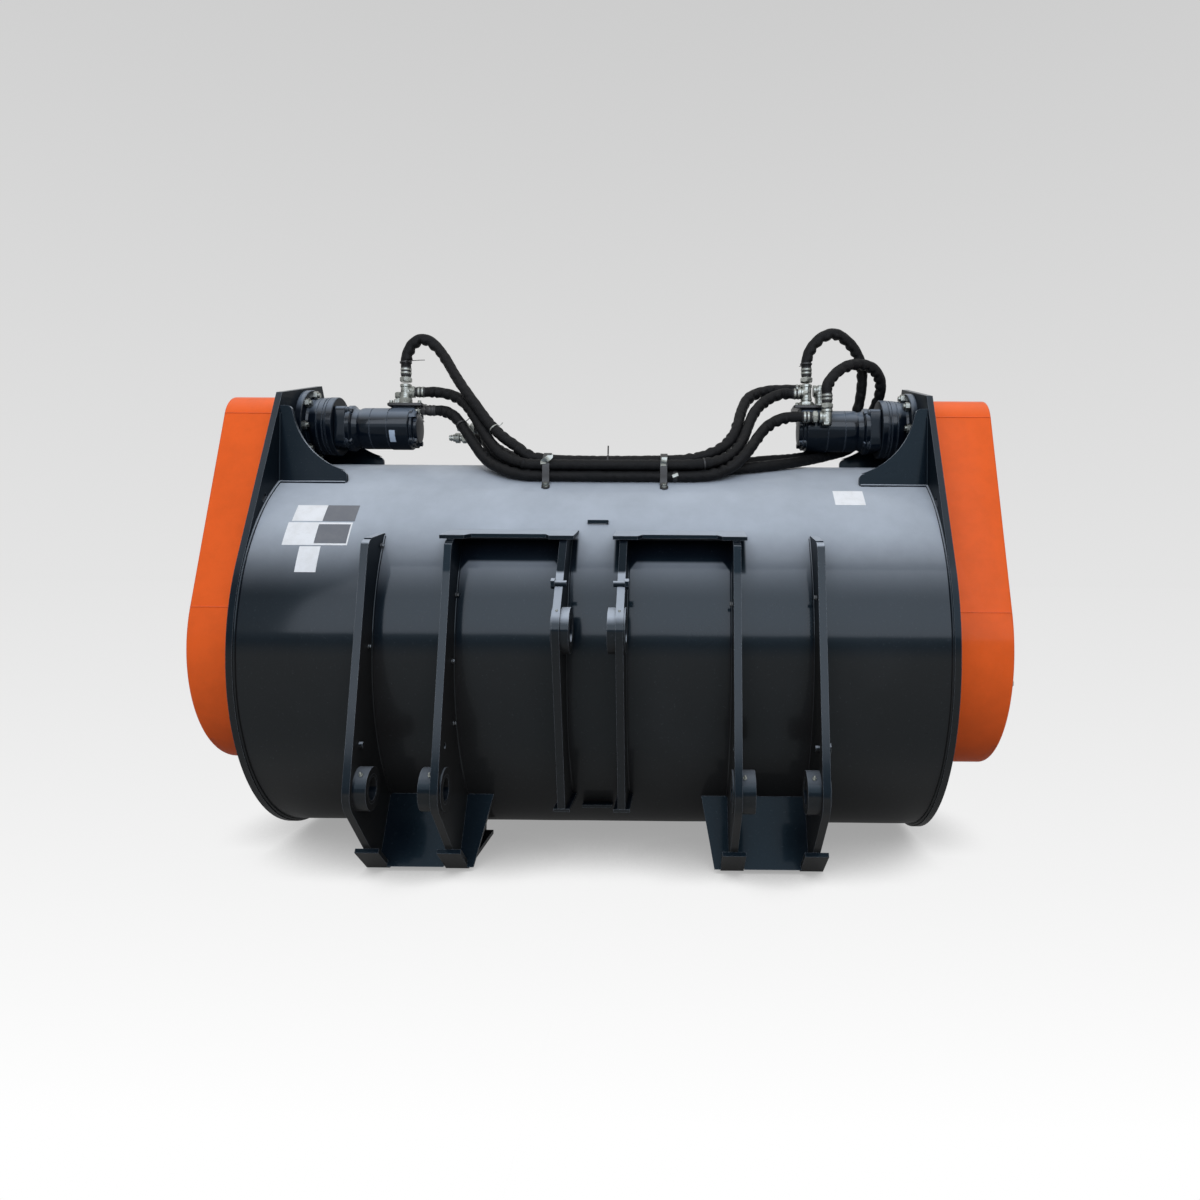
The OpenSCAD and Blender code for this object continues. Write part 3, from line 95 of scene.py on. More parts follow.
def add_mesh(name, points, faces, material, uv=None):
    """Makes one piece from points and faces, gives it its finish and lets it ride on the bucket."""
    mesh = bpy.data.meshes.new(name)
    mesh.from_pydata(np.asarray(points, float).tolist(), [], [list(face) for face in faces])
    if uv is not None:
        layer = mesh.uv_layers.new(name="UVMap")
        corners = np.zeros(len(mesh.loops), np.int32)
        mesh.loops.foreach_get("vertex_index", corners)
        layer.data.foreach_set("uv", np.asarray(uv, np.float32)[corners].ravel())
    mesh.polygons.foreach_set("use_smooth", np.ones(len(mesh.polygons), bool))
    mesh.materials.append(material)
    mesh.update()
    piece = new_object(name, mesh)
    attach(piece, "bucket")
    return piece


def grid_faces(rows, columns, closed=True):
    """Quads between neighbouring rows and columns of a grid of points; closed joins the last column to
    the first."""
    i = np.arange(rows - 1)[:, None]
    j = np.arange(columns if closed else columns - 1)[None, :]
    k = (j + 1) % columns
    corners = (i * columns + j, i * columns + k, (i + 1) * columns + k, (i + 1) * columns + j)
    return np.stack(np.broadcast_arrays(*corners), -1).reshape(-1, 4)


class Heap:
    """Collects grids of points into one piece."""

    def __init__(self):
        self.points, self.faces, self.count = [], [], 0

    def grid(self, points, closed=True, capped=True):
        """Adds a grid of rows of points; capped closes the first and the last row with one face each."""
        rows, columns = points.shape[:2]
        self.points.append(points.reshape(-1, 3))
        self.faces += (grid_faces(rows, columns, closed) + self.count).tolist()
        if capped:
            first = np.arange(columns) + self.count
            self.faces.append(first[::-1].tolist())
            self.faces.append((first + (rows - 1) * columns).tolist())
        self.count += rows * columns

    def turned(self, *shape, **options):
        """Adds a turned shape."""
        self.grid(turned(*shape, **options))

    def piece(self, name, material, sharp=35):
        """Makes one piece of all that was added."""
        made = add_mesh(name, np.concatenate(self.points), self.faces, material)
        sharpen(made, sharp)
        return made


def sharpen(piece, degrees):
    """Leaves an edge hard where its two faces turn by more than the angle."""
    piece.data.set_sharp_from_angle(angle=math.radians(degrees))


def points_of(*coordinates):
    """Points from arrays of their coordinates; one number stands for all points."""
    return np.stack(np.broadcast_arrays(*coordinates), -1)


def way_along(path):
    """The distance of each point along a path from its start."""
    return np.concatenate([[0], np.cumsum(np.linalg.norm(np.diff(path, axis=0), axis=1))])


def across_to(direction):
    """Two directions square to a direction and to each other."""
    along = np.asarray(direction, float) / np.linalg.norm(direction)
    spare = np.array([0.0, 0.0, 1.0]) if abs(along[2]) < 0.9 else np.array([1.0, 0.0, 0.0])
    side = np.cross(spare, along)
    side /= np.linalg.norm(side)
    return along, side, np.cross(along, side)


def turned(origin, direction, profile, sides, flats=0.0, turn=0.0):
    """Rows of a turned shape: at each step of the profile, a radius and a distance along the direction.
    Where flats is given, the radius is cut by six flats that far apart, so that a radius past them gives
    a hexagon and a smaller one its chamfer."""
    along, side, up = across_to(direction)
    angle = np.linspace(0, full_turn, sides, endpoint=False) + turn
    profile = np.asarray(profile, float) / 1000
    radius = np.repeat(profile[:, :1], sides, 1)
    if flats:
        sector = np.mod(angle - turn, math.pi / 3) - math.pi / 6
        radius = np.minimum(radius, flats / 2000 / np.cos(sector)[None, :])
    ring = radius[..., None] * (np.cos(angle)[:, None] * side + np.sin(angle)[:, None] * up)
    return np.asarray(origin, float) + ring + profile[:, 1, None, None] * along


def smooth_path(points, step=0.004):
    """A smooth curve through the points at even steps: between two points it is the cubic that leaves
    and meets them along the chords of their neighbours."""
    p = np.asarray(points, float)
    p = np.vstack([2 * p[0] - p[1], p, 2 * p[-1] - p[-2]])
    t = np.linspace(0, len(p) - 3, 60 * (len(p) - 3) + 1)
    i = np.minimum(t.astype(int), len(p) - 4)
    u = (t - i)[:, None]
    a, b, c, d = p[i], p[i + 1], p[i + 2], p[i + 3]
    curve = b + u * ((c - a) / 2 + u * (a - 2.5 * b + 2 * c - d / 2 + u * ((d - a) / 2 + 1.5 * (b - c))))
    way = way_along(curve)
    even = np.linspace(0, way[-1], max(4, int(way[-1] / step)))
    return points_of(*(np.interp(even, way, curve[:, k]) for k in range(3)))


def path_frames(path, spare=(0, 1, 0)):
    """Directions along, beside and above each point of a path that never runs along the spare one."""
    along = np.gradient(path, axis=0)
    along /= np.linalg.norm(along, axis=1)[:, None]
    side = np.cross(along, np.asarray(spare, float))
    side /= np.linalg.norm(side, axis=1)[:, None]
    return along, side, np.cross(side, along)


def rings_round(side, up, angle):
    """Directions at each angle round a path, from those beside and above its points."""
    return np.cos(angle)[None, :, None] * side[:, None] + np.sin(angle)[None, :, None] * up[:, None]


def swept(path, profile, spare):
    """Rows of a section carried along a path; the section holds distances beside and above it."""
    along, side, up = path_frames(path, spare)
    section = np.asarray(profile, float)
    return path[:, None] + section[None, :, :1] * side[:, None] + section[None, :, 1:] * up[:, None]


# Finishes

class Signal:
    """A socket in a tree of nodes; arithmetic on it adds Math nodes."""

    def __init__(self, nodes, socket):
        self.nodes, self.socket = nodes, socket

    def math(self, operation, *values):
        return self.nodes.node("ShaderNodeMath", {"operation": operation}, [self, *values])

    def __add__(self, other):
        return self.math("ADD", other)

    def __sub__(self, other):
        return self.math("SUBTRACT", other)

    def __rsub__(self, other):
        return self.nodes.node("ShaderNodeMath", {"operation": "SUBTRACT"}, [other, self])

    def __mul__(self, other):
        return self.math("MULTIPLY", other)

    __radd__, __rmul__ = __add__, __mul__

    def between(self, low, high):
        """0 below low, 1 above high and a smooth step between them."""
        settings = {"interpolation_type": "SMOOTHSTEP"}
        return self.nodes.node("ShaderNodeMapRange", settings, {0: self, 1: low, 2: high})

    def part(self, axis):
        """One coordinate of a vector."""
        return self.nodes.node("ShaderNodeSeparateXYZ", {}, [self], axis)


class Nodes:
    """The shader nodes of a material or of the world."""

    def __init__(self, owner, output):
        owner.use_nodes = True
        self.tree = owner.node_tree
        self.tree.nodes.clear()
        self.output = self.tree.nodes.new(output)

    def node(self, kind, settings, inputs=(), output=0):
        """Adds one node, its settings first and then the values or links of its inputs."""
        made = self.tree.nodes.new(kind)
        for key, value in settings.items():
            if key == "stops":
                for element, (at, colour) in zip(made.color_ramp.elements, value):
                    element.position, element.color = at, (*colour, 1)
            else:
                setattr(made, key, value)
        pairs = inputs.items() if isinstance(inputs, dict) else enumerate(inputs)
        for key, value in pairs:
            self.feed(made.inputs[key], value)
        return Signal(self, made.outputs[output])

    def feed(self, socket, value):
        """Links a socket to a signal or sets its value."""
        if isinstance(value, Signal):
            self.tree.links.new(value.socket, socket)
        elif isinstance(value, tuple) and len(value) == 3 and socket.type == "RGBA":
            socket.default_value = (*value, 1)
        else:
            socket.default_value = value

    def mix(self, share, first, second):
        """One colour at share 0 and the other at share 1."""
        return self.node("ShaderNodeMix", {"data_type": "RGBA"}, {0: share, 6: first, 7: second}, 2)

    def show(self, lighting, shown):
        """Ends in a shader for camera, glossy and transmission rays and another for all that carry light."""
        camera, glossy, through = (self.node("ShaderNodeLightPath", {}, [], f"Is {ray} Ray")
                                   for ray in ("Camera", "Glossy", "Transmission"))
        seen = camera.math("MAXIMUM", glossy).math("MAXIMUM", through)
        self.feed(self.output.inputs[0], self.node("ShaderNodeMixShader", {}, [seen, lighting, shown]))


class Finish(Nodes):
    """A material of nodes round one Principled shader."""

    def __init__(self, name, colour, roughness, metallic=0.0, coat=0.0):
        self.material = bpy.data.materials.new(name)
        super().__init__(self.material, "ShaderNodeOutputMaterial")
        self.shader = self.tree.nodes.new("ShaderNodeBsdfPrincipled")
        self.tree.links.new(self.shader.outputs[0], self.output.inputs[0])
        self.place = self.node("ShaderNodeTexCoord", {}, [], "Object")
        for socket, value in (("Base Color", colour), ("Roughness", roughness), ("Metallic", metallic),
                              ("Coat Weight", coat), ("Coat Roughness", 0.04)):
            self.give(socket, value)

    def give(self, socket, value):
        """Feeds one socket of the shader."""
        self.feed(self.shader.inputs[socket], value)

    def noise(self, scale, detail=2.0, rough=0.5, stretch=(1, 1, 1)):
        """Noise of that scale per metre over the object's own coordinates, about one half in the mean."""
        where = self.node("ShaderNodeMapping", {}, {0: self.place, 3: stretch})
        inputs = {"Vector": where, "Scale": scale, "Detail": detail, "Roughness": rough}
        return self.node("ShaderNodeTexNoise", {}, inputs)

    def relief(self, *layers, rounding=0.0):
        """Bumps laid over each other, each a height, its depth in metres and its strength, over edges
        that look rounded by the given radius."""
        normal = self.node("ShaderNodeBevel", {"samples": 4}, {"Radius": rounding}) if rounding else None
        for height, depth, strength in layers:
            inputs = {"Strength": strength, "Distance": depth, "Height": height}
            if normal:
                inputs["Normal"] = normal
            normal = self.node("ShaderNodeBump", {}, inputs)
        self.give("Normal", normal)

    def edges(self, radius):
        """How far the surface's normal turns within a radius: 0 on a flat face and up to 1 on an edge."""
        soft = self.node("ShaderNodeBevel", {"samples": 4}, {"Radius": radius})
        hard = self.node("ShaderNodeNewGeometry", {}, [], "Normal")
        same = self.node("ShaderNodeVectorMath", {"operation": "DOT_PRODUCT"}, [soft, hard], "Value")
        return (1 - same).between(0.02, 0.25)


def paint(name, colour, dust, coat, dust_and_highlight, gloss=0.05, tint=(1, 1, 1), rounding=0.0012, dirt_and_shade=None):
    """Sprayed gloss paint: a base under a clear coat that is thin on faces turned down, with orange peel, a
    wavy plate under it, and paler edges that are partly wear and partly a painted highlight. Faces turned up
    take a pale tone that is partly dust and partly a painted highlight; painted shade keeps it off close to
    the ground, along the side plates' edges and in a painted shadow under the lug caps. Low faces turned
    down take a flat colour as painted shade."""
    f = Finish(name, colour, 0.35, coat=coat)
    f.give("Specular IOR Level", gloss)
    f.give("Specular Tint", tint)
    f.give("Coat Roughness", 0.09)
    facing = f.node("ShaderNodeTexCoord", {}, [], "Normal")
    up, beside = facing.part(2), facing.part(0).math("ABSOLUTE")
    across, height = f.place.part(0).math("ABSOLUTE"), f.place.part(2)
    cloud = f.noise(2.3, 4, 0.6)
    patches = f.noise(11, 5, 0.65)
    specks = f.noise(140, 2, 0.7).between(0.6, 0.8)
    # The painted shadow under the lug caps reaches 29 mm lower at both of their ends, as the caps do
    ends = across.between(0.345, 0.375) + (1 - across.between(0.085, 0.115))
    cap_shadow = (height + ends * 0.029).between(0.848, 0.858) * (1 - height.between(0.912, 0.922))
    cap_shadow = cap_shadow * across.between(0.047, 0.055) * (1 - across.between(0.406, 0.414))
    # Painted shade: the pale tone and most of the coat stay off close to the ground, in the painted shadow
    # under the caps and along the side plates' edges
    unshaded = height.between(0.22, 0.5) * (1 - cap_shadow) * (1 - across.between(0.957, 0.963) * 0.8)
    # The pale tone on faces turned up is partly dust and partly a painted highlight
    film = up.between(0.26, 0.68) * unshaded * dust_and_highlight * (0.76 + 0.48 * cloud) * (0.85 + 0.3 * patches)
    film = film + specks * (0.015 + 0.03 * cloud) + cloud.between(0.5, 0.8) * 0.01
    sprayed = 0.2 + 0.8 * up.between(0.05, 0.12) * unshaded
    dull = (0 - up).between(0.35, 0.8) * 0.45 + beside.between(0.8, 0.95) * 0.25
    # Paler edges: partly wear and partly a painted highlight
    edge = f.edges(0.0022)
    shade = f.mix(patches.between(0.3, 0.7) * 0.35, colour, tuple(0.74 * c for c in colour))
    # Painted shade: low faces turned down, below the shaft, take a flat near-black colour
    if dirt_and_shade:
        shade = f.mix((1 - up.between(-0.02, 0.1)) * (1 - height.between(0.58, 0.8)), shade, dirt_and_shade)
    f.give("Base Color", f.mix(film + edge * 0.35, shade, dust))
    f.give("Roughness", 0.24 + 0.08 * cloud + 0.22 * film + 0.12 * edge + dull)
    f.give("Coat Weight", (coat - film * coat * 0.6) * sprayed)
    f.relief((f.noise(5, 2), 0.002, 0.1), (f.noise(420, 1), 0.00012, 0.2), rounding=rounding)
    return f.material


def bare_metal(name, colour, roughness, grain, tint):
    """Turned or rolled steel: fine grain stretched across X, blotches of a second tint and dull edges."""
    f = Finish(name, colour, roughness, metallic=1.0)
    blotch = f.noise(24, 4, 0.6).between(0.35, 0.7)
    lines = f.noise(90, 2, 0.6, stretch=grain)
    f.give("Base Color", f.mix(blotch * 0.5, colour, tint))
    f.give("Roughness", roughness - 0.08 + 0.16 * lines + 0.1 * blotch)
    f.relief((lines, 0.0002, 0.25), rounding=0.0008)
    return f.material


def worn_steel():
    """Steel that mixes concrete: mill scale and brown rust in patches, scoured bright along its edges."""
    f = Finish("worn_steel", (0.1, 0.095, 0.09), 0.55, metallic=0.6)
    rust = f.noise(7, 6, 0.65).between(0.45, 0.68)
    scale = f.noise(60, 4, 0.7)
    edge = f.edges(0.004)
    base = f.mix(rust * 0.7, (0.15, 0.15, 0.15), (0.11, 0.065, 0.04))
    base = f.mix(scale.between(0.45, 0.7) * 0.4, base, (0.06, 0.06, 0.062))
    f.give("Base Color", f.mix(edge, base, (0.38, 0.38, 0.37)))
    f.give("Metallic", 0.9 - 0.6 * rust)
    f.give("Roughness", 0.42 + 0.25 * rust + 0.1 * scale - 0.1 * edge)
    f.relief((scale, 0.0006, 0.35), (f.noise(300, 2), 0.0002, 0.3), rounding=0.0012)
    return f.material


def sleeve_cloth():
    """Black nylon sleeve: a fine braid laid out along the hose by its own map, grey with dust on top."""
    f = Finish("sleeve_cloth", (0.003, 0.003, 0.0035), 0.6)
    f.give("Specular IOR Level", 0.14)
    map_place = f.node("ShaderNodeUVMap", {}, [])
    u, v = map_place.part(0), map_place.part(1)
    turns = full_turn / 0.0022
    left, right = ((u + v) * turns).math("SINE"), ((u - v) * turns).math("SINE")
    braid = left * right * 0.5 + 0.5
    dust = f.noise(16, 4, 0.65).between(0.45, 0.75)
    grey = f.mix(dust * 0.4, (0.003, 0.003, 0.0035), (0.014, 0.015, 0.016))
    f.give("Base Color", f.mix(braid * 0.3, grey, (0.01, 0.011, 0.012)))
    f.give("Roughness", 0.5 + 0.2 * dust)
    f.relief((f.noise(60, 3, 0.6), 0.002, 0.7), (braid, 0.0003, 0.5))
    return f.material


def black_part(name, roughness, depth):
    """Black rubber, plastic or burnt-on finish with a fine cast grain."""
    f = Finish(name, (0.01, 0.01, 0.011), roughness)
    grain = f.noise(260, 3, 0.6)
    cloud = f.noise(18, 3)
    f.give("Base Color", f.mix(cloud.between(0.4, 0.75) * 0.5, (0.008, 0.008, 0.009), (0.03, 0.03, 0.031)))
    f.give("Roughness", roughness - 0.05 + 0.15 * cloud)
    f.relief((grain, depth, 0.4), rounding=0.001)
    return f.material


def panel_film(name, colour, tint):
    """Printed film, blank: a plain colour that has yellowed or faded in soft clouds, with dirt at its rim
    and the fine grain of the printed face."""
    f = Finish(name, colour, 0.35, coat=0.3)
    cloud = f.noise(30, 4, 0.6)
    dirt_and_shade = f.noise(190, 3, 0.7).between(0.58, 0.8)
    faded = f.mix(cloud.between(0.35, 0.75) * 0.5, colour, tint)
    f.give("Base Color", f.mix(dirt_and_shade * 0.25, faded, (0.16, 0.16, 0.15)))
    f.give("Roughness", 0.3 + 0.2 * cloud)
    f.relief((f.noise(900, 1), 0.00005, 0.2))
    return f.material


# In each paint the second colour is the pale tone of faces turned up, partly dust and partly a painted
# highlight; the last colour of graphite is painted shade on its low faces
graphite = paint("graphite_paint", (0.0035, 0.006, 0.01), (0.435, 0.475, 0.525), 0.4, 0.9, 0.085,
                 (0.42, 0.8, 1.0), dirt_and_shade=(0.018, 0.017, 0.0165))
orange = paint("orange_paint", (0.93, 0.135, 0.022), (0.88, 0.42, 0.3), 0.22, 0.32)
machine_paint = paint("machine_paint", (0.002, 0.004, 0.008), (0.3, 0.36, 0.44), 0.62, 0.42, 0.07,
                      (0.6, 0.85, 1.0), 0.0025)
zinc = bare_metal("zinc_plate", (0.31, 0.325, 0.305), 0.34, (1, 1, 1), (0.17, 0.18, 0.16))
dark_steel = bare_metal("dark_steel", (0.13, 0.14, 0.15), 0.38, (1, 1, 1), (0.08, 0.085, 0.09))
steel = bare_metal("bright_steel", (0.46, 0.46, 0.46), 0.32, (8, 1, 1), (0.32, 0.31, 0.3))
worn = worn_steel()
cloth = sleeve_cloth()
rubber = black_part("black_rubber", 0.55, 0.0002)
dark_plate = black_part("dark_plate", 0.38, 0.0001)
nylon = black_part("black_nylon", 0.45, 0.0001)
white_panel = panel_film("white_film", (0.78, 0.79, 0.8), (0.62, 0.62, 0.6))
pale_panel = panel_film("pale_film", (0.34, 0.42, 0.52), (0.42, 0.47, 0.54))
grey_panel = panel_film("grey_film", (0.095, 0.105, 0.125), (0.15, 0.155, 0.165))

nodes_with = {
    orange: "left_chain_cover right_chain_cover",
    zinc: "flange_studs cover_bolts left_fittings right_fittings quick_couplers hose_clamps grate_pins",
    steel: "cover_posts left_drive_shaft right_drive_shaft left_drive_sprocket right_drive_sprocket "
           "left_driven_sprocket right_driven_sprocket mixing_shaft",
    worn: "cutting_edge cutting_edge_bolts left_ribbon right_ribbon mixer_arms left_chain right_chain",
    rubber: "shaft_seals",
    machine_paint: "left_motor right_motor left_gearbox right_gearbox left_bearing right_bearing",
}
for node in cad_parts.values():
    node.data.materials.clear()
    node.data.materials.append(graphite)
for finish, names in nodes_with.items():
    for name in names.split():
        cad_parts[name].data.materials[0] = finish


# Hoses

hose_r, fold_height, lump_height = 0.0155, 0.002, 0.0066
# Folds of a sleeve: the length of each wave and its weight, then the length of the lumps in a bend
fold_waves = ((0.034, 0.35), (0.052, 1.0), (0.083, 0.9), (0.137, 0.5))
lump_length = 0.062
# Hose routes in millimetres, with heights from the top of the shell
routes = {
    "left_loop_hose": [
        (-648, -95, 299), (-648, -95, 334), (-632, -95, 374), (-600, -95, 395), (-562, -98, 381),
        (-522, -108, 334), (-470, -140, 254), (-405, -182, 169), (-340, -215, 89), (-265, -243, 32),
        (-175, -258, -8), (190, -258, -9), (300, -250, 6), (370, -225, 44), (402, -190, 97),
        (418, -145, 154), (445, -100, 211), (500, -70, 239), (565, -60, 246), (602, -60, 246)],
    "left_feed_hose": [
        (-590, -95, 225), (-545, -95, 225), (-480, -116, 206), (-428, -155, 159), (-372, -205, 77),
        (-312, -250, 9), (-240, -280, -22), (-170, -289, -27), (190, -289, -26), (300, -283, -21),
        (365, -264, -3), (400, -240, 27), (422, -214, 63), (440, -180, 111), (460, -148, 156),
        (495, -118, 197), (550, -95, 226), (591, -95, 226)],
    "lower_hose": [
        (-552, -108, 164), (-525, -108, 164), (-500, -122, 154), (-468, -150, 129), (-418, -192, 64),
        (-362, -235, -5), (-300, -272, -41), (-235, -288, -58), (-160, -290, -60), (190, -290, -60),
        (300, -288, -57), (355, -280, -44), (400, -276, -17), (440, -255, 29), (466, -208, 69),
        (500, -175, 111), (545, -172, 135), (585, -172, 140), (612, -172, 140)],
    "right_loop_hose": [
        (630, -95, 305), (630, -95, 334), (645, -95, 374), (680, -94, 409), (722, -88, 421),
        (765, -76, 399), (800, -60, 359), (818, -42, 306), (820, -10, 239), (806, 15, 169),
        (765, 25, 101), (690, -10, 53), (600, -90, 21), (500, -150, 6), (400, -200, -11),
        (300, -226, -23), (180, -230, -30), (-190, -230, -30), (-250, -200, -6), (-330, -140, 29),
        (-385, -75, 69), (-430, -60, 84), (-460, -60, 84)],
    "right_inner_loop_hose": [
        (684, -172, 209), (684, -172, 239), (712, -150, 279), (755, -122, 311), (805, -97, 322),
        (850, -75, 311), (877, -48, 277), (880, -15, 234), (862, 22, 184), (838, 45, 124),
        (795, 37, 71), (700, -45, 34), (590, -145, 2), (480, -205, -18), (400, -232, -29),
        (300, -256, -41), (180, -261, -44), (-190, -262, -45), (-245, -250, -37), (-315, -215, -9),
        (-360, -185, 34), (-385, -125, 79), (-400, -110, 107), (-422, -110, 107)],
}


def sleeved_hose(name, route, seed):
    """A hose in a loose sleeve. Its radius at a distance along it and an angle round it is the hose's
    plus low folds, the size of sine waves of several lengths that lean round the hose. On the inside of a
    bend, where the sleeve bunches up, round lumps with sharp creases between them are added in the same
    way. Both die out at the ferrules."""
    points = np.array(route) / 1000 + [0, 0, axis_z + drum_r]
    path = smooth_path(points)
    along, side, up = path_frames(path)
    way = way_along(path)
    columns = 40
    angle = np.linspace(0, full_turn, columns, endpoint=False)
    ring = rings_round(side, up, angle)
    bend = np.gradient(along, axis=0) / np.gradient(way)[:, None]
    inside = np.clip((ring * bend[:, None]).sum(-1) * 0.12, 0, 1)
    draw = np.random.default_rng(seed)
    folds = np.zeros((len(path), columns))
    whole = sum(weight for length, weight in fold_waves)
    for length, weight in fold_waves:
        lean = draw.integers(-2, 3)
        phase = draw.uniform(0, full_turn, 2)
        drift = 0.9 * np.sin(way * full_turn / 0.31 + phase[1])
        wave = np.sin(way[:, None] * full_turn / length + drift[:, None] + lean * angle[None, :] + phase[0])
        folds += weight / whole * np.abs(wave)
    lumps = np.abs(np.sin(way * full_turn / lump_length + 0.8 * np.sin(way * 23) + phase[1]))[:, None]
    ends = np.clip(np.minimum(way, way[-1] - way) / 0.03, 0, 1)[:, None]
    radius = hose_r + ends * (fold_height * folds - 0.0005 + inside * (lump_height * lumps - 0.002))
    points = path[:, None] + radius[..., None] * ring
    uv = points_of(way[:, None], angle[None, :] * hose_r).reshape(-1, 2)
    first = np.arange(columns)
    faces = grid_faces(len(path), columns).tolist()
    faces += [first[::-1].tolist(), (first + (len(path) - 1) * columns).tolist()]
    piece = add_mesh(name + "_sleeve", points.reshape(-1, 3), faces, cloth, uv=uv)
    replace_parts(piece, name)
    return piece, path, way[-1]


hoses = {name: sleeved_hose(name, route, 11 + i) for i, (name, route) in enumerate(routes.items())}
hose_paths = {name: path for name, (piece, path, length) in hoses.items()}


# Welds

def bead(heap, path, size, spare):
    """A weld bead along a path: a round section whose radius swells and shrinks with every ripple."""
    way = way_along(path)
    along, side, up = path_frames(path, spare)
    angle = np.linspace(0, full_turn, 8, endpoint=False)
    ripple = 1 + 0.1 * np.abs(np.sin(way * math.pi / 0.007)) + 0.06 * np.sin(way * 31)
    heap.grid(path[:, None] + size * ripple[:, None, None] * rings_round(side, up, angle))


def arc_at(x, radius, first, last, step=0.0035):
    """Points of an arc round the shaft in a plane across X, by angles from the top towards the mouth."""
    count = max(4, int(abs(last - first) * radius / step))
    angle = np.linspace(first, last, count)
    return points_of(x, radius * np.sin(angle), axis_z + radius * np.cos(angle))


# Drum and covers

def drum_piece():
    """The rolled shell: a section of its outer and its inner arc, carried across the bucket. The outer
    radius wanders by a third of a millimetre in long waves, as a rolled and welded plate does."""
    first, last = math.radians(38), -math.pi
    outer = np.linspace(first, last, 300)
    inner = np.linspace(last, first, 90)
    angle = np.concatenate([outer, inner])
    x = np.linspace(-plate_x, plate_x, 161)[:, None]
    wave = (np.sin(x * 17 + 1.3) * np.sin(3 * angle + 0.4) + 0.7 * np.sin(x * 9.1 + 2 * angle)
            + 0.5 * np.sin(x * 31 + 5 * angle + 2.0))
    fade = np.clip((plate_x - np.abs(x)) / 0.05, 0, 1)
    is_outer = np.arange(len(angle)) < len(outer)
    radius = np.where(is_outer, drum_r - 0.0002 + 0.00016 * wave * fade, drum_r - shell_t)
    heap = Heap()
    heap.grid(points_of(x, radius * np.sin(angle), axis_z + radius * np.cos(angle)))
    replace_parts(heap.piece("rolled_shell", graphite, sharp=40), "drum_shell")


# Points round the big arc of a chain cover and on each straight side
arc_count, side_count = 120, 38


def cover_outline(inset):
    """Points round a chain cover in the side view: two arcs joined by their outer tangents, drawn in by
    the inset, from the rear tangent point of the big arc and round by the bottom."""
    motor = np.array([motor_y, motor_z - axis_z])
    far = np.linalg.norm(motor)
    lean = math.atan2(motor[1], motor[0])
    half = math.acos((cover_r - cover_top_r) / far)
    low = np.linspace(lean + half, lean + full_turn - half, arc_count)
    high = np.linspace(lean - half, lean + half, arc_count // 2)
    big = (cover_r - inset) * points_of(np.cos(low), np.sin(low))
    small = motor + (cover_top_r - inset) * points_of(np.cos(high), np.sin(high))
    side = np.linspace(0, 1, side_count + 2)[1:-1, None]
    first, second = big[-1] + side * (small[0] - big[-1]), small[-1] + side * (big[0] - small[-1])
    return np.concatenate([big, first, small, second])


def cover_piece(name, s):
    """A chain cover: the outline is drawn in along a quarter round at the outer edge, and runs back
    inside one sheet thickness further in."""
    sheet, round_r, depth = 0.004, 0.007, 0.214
    turn = np.linspace(0, math.pi / 2, 7)
    inset = np.concatenate([[0.1, 0.04, sheet + 0.004, sheet, sheet], np.zeros(13),
                            round_r * (1 - np.cos(turn)), [0.02, 0.045, 0.07]])
    out = np.concatenate([[depth - sheet] * 3, [depth - sheet - 0.004, 0, 0, 0.001],
                          np.linspace(0.001, depth - round_r, 12)[1:],
                          depth - round_r + round_r * np.sin(turn), [depth] * 3])
    rows = []
    for drawn, at in zip(inset, out):
        ring = cover_outline(drawn)
        rows.append(points_of(s * (side_x + at), ring[:, 0], axis_z + ring[:, 1]))
    heap = Heap()
    heap.grid(np.array(rows[::-1] if s > 0 else rows))
    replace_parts(heap.piece(name + "_pan", orange, sharp=40), name)
    seams = Heap()
    outline = cover_outline(-0.0006)
    last = arc_count + side_count - 1
    across = s * np.linspace(side_x + 0.002, side_x + depth - 0.004, 60)
    for i in (0, arc_count - 1, last, last + arc_count // 2):
        y, z = outline[i]
        bead(seams, points_of(across, y, axis_z + z), 0.0016, (0, 0.3, 1))
    rim = cover_outline(0.0)
    rim = np.concatenate([rim, rim[:1]])
    edge = smooth_path(points_of(s * (side_x + 0.001), rim[:, 0], axis_z + rim[:, 1]), 0.006)
    bead(seams, edge, 0.0028, (1, 0, 0))
    seams.piece(name + "_seams", orange)


drum_piece()
cover_piece("left_chain_cover", -1)
cover_piece("right_chain_cover", 1)


# Machine parts

def place(side, x, back, up):
    """A point at a distance from the middle of the bucket on one side of it, behind and above the motor."""
    return np.array([side * x, motor_y - back, motor_z + up])


def block(heap, origin, u, v, rows):
    """Rows of rounded rectangles: each row holds half its size along u and v, its corner radius and its
    distance along the direction square to both."""
    u, v = np.asarray(u, float), np.asarray(v, float)
    out = np.cross(u, v)
    quarter = np.linspace(0, math.pi / 2, 5)
    turn = (quarter[None, :] + np.arange(4)[:, None] * math.pi / 2).ravel()
    corner = np.repeat([(1, 1), (-1, 1), (-1, -1), (1, -1)], len(quarter), 0)
    grid = []
    for half_u, half_v, radius, at in np.asarray(rows, float) / 1000:
        flat = corner * (half_u - radius, half_v - radius) + radius * points_of(np.cos(turn), np.sin(turn))
        grid.append(np.asarray(origin, float) + flat[:, :1] * u + flat[:, 1:] * v + at * out)
    heap.grid(np.array(grid))


def plate(heap, origin, u, v, half_u, half_v, radius, thickness, edge=1.2):
    """A plate with rounded corners and broken edges on both faces."""
    block(heap, origin, u, v, [
        (half_u - edge, half_v - edge, radius, 0), (half_u, half_v, radius, edge),
        (half_u, half_v, radius, thickness - edge), (half_u - edge, half_v - edge, radius, thickness)])


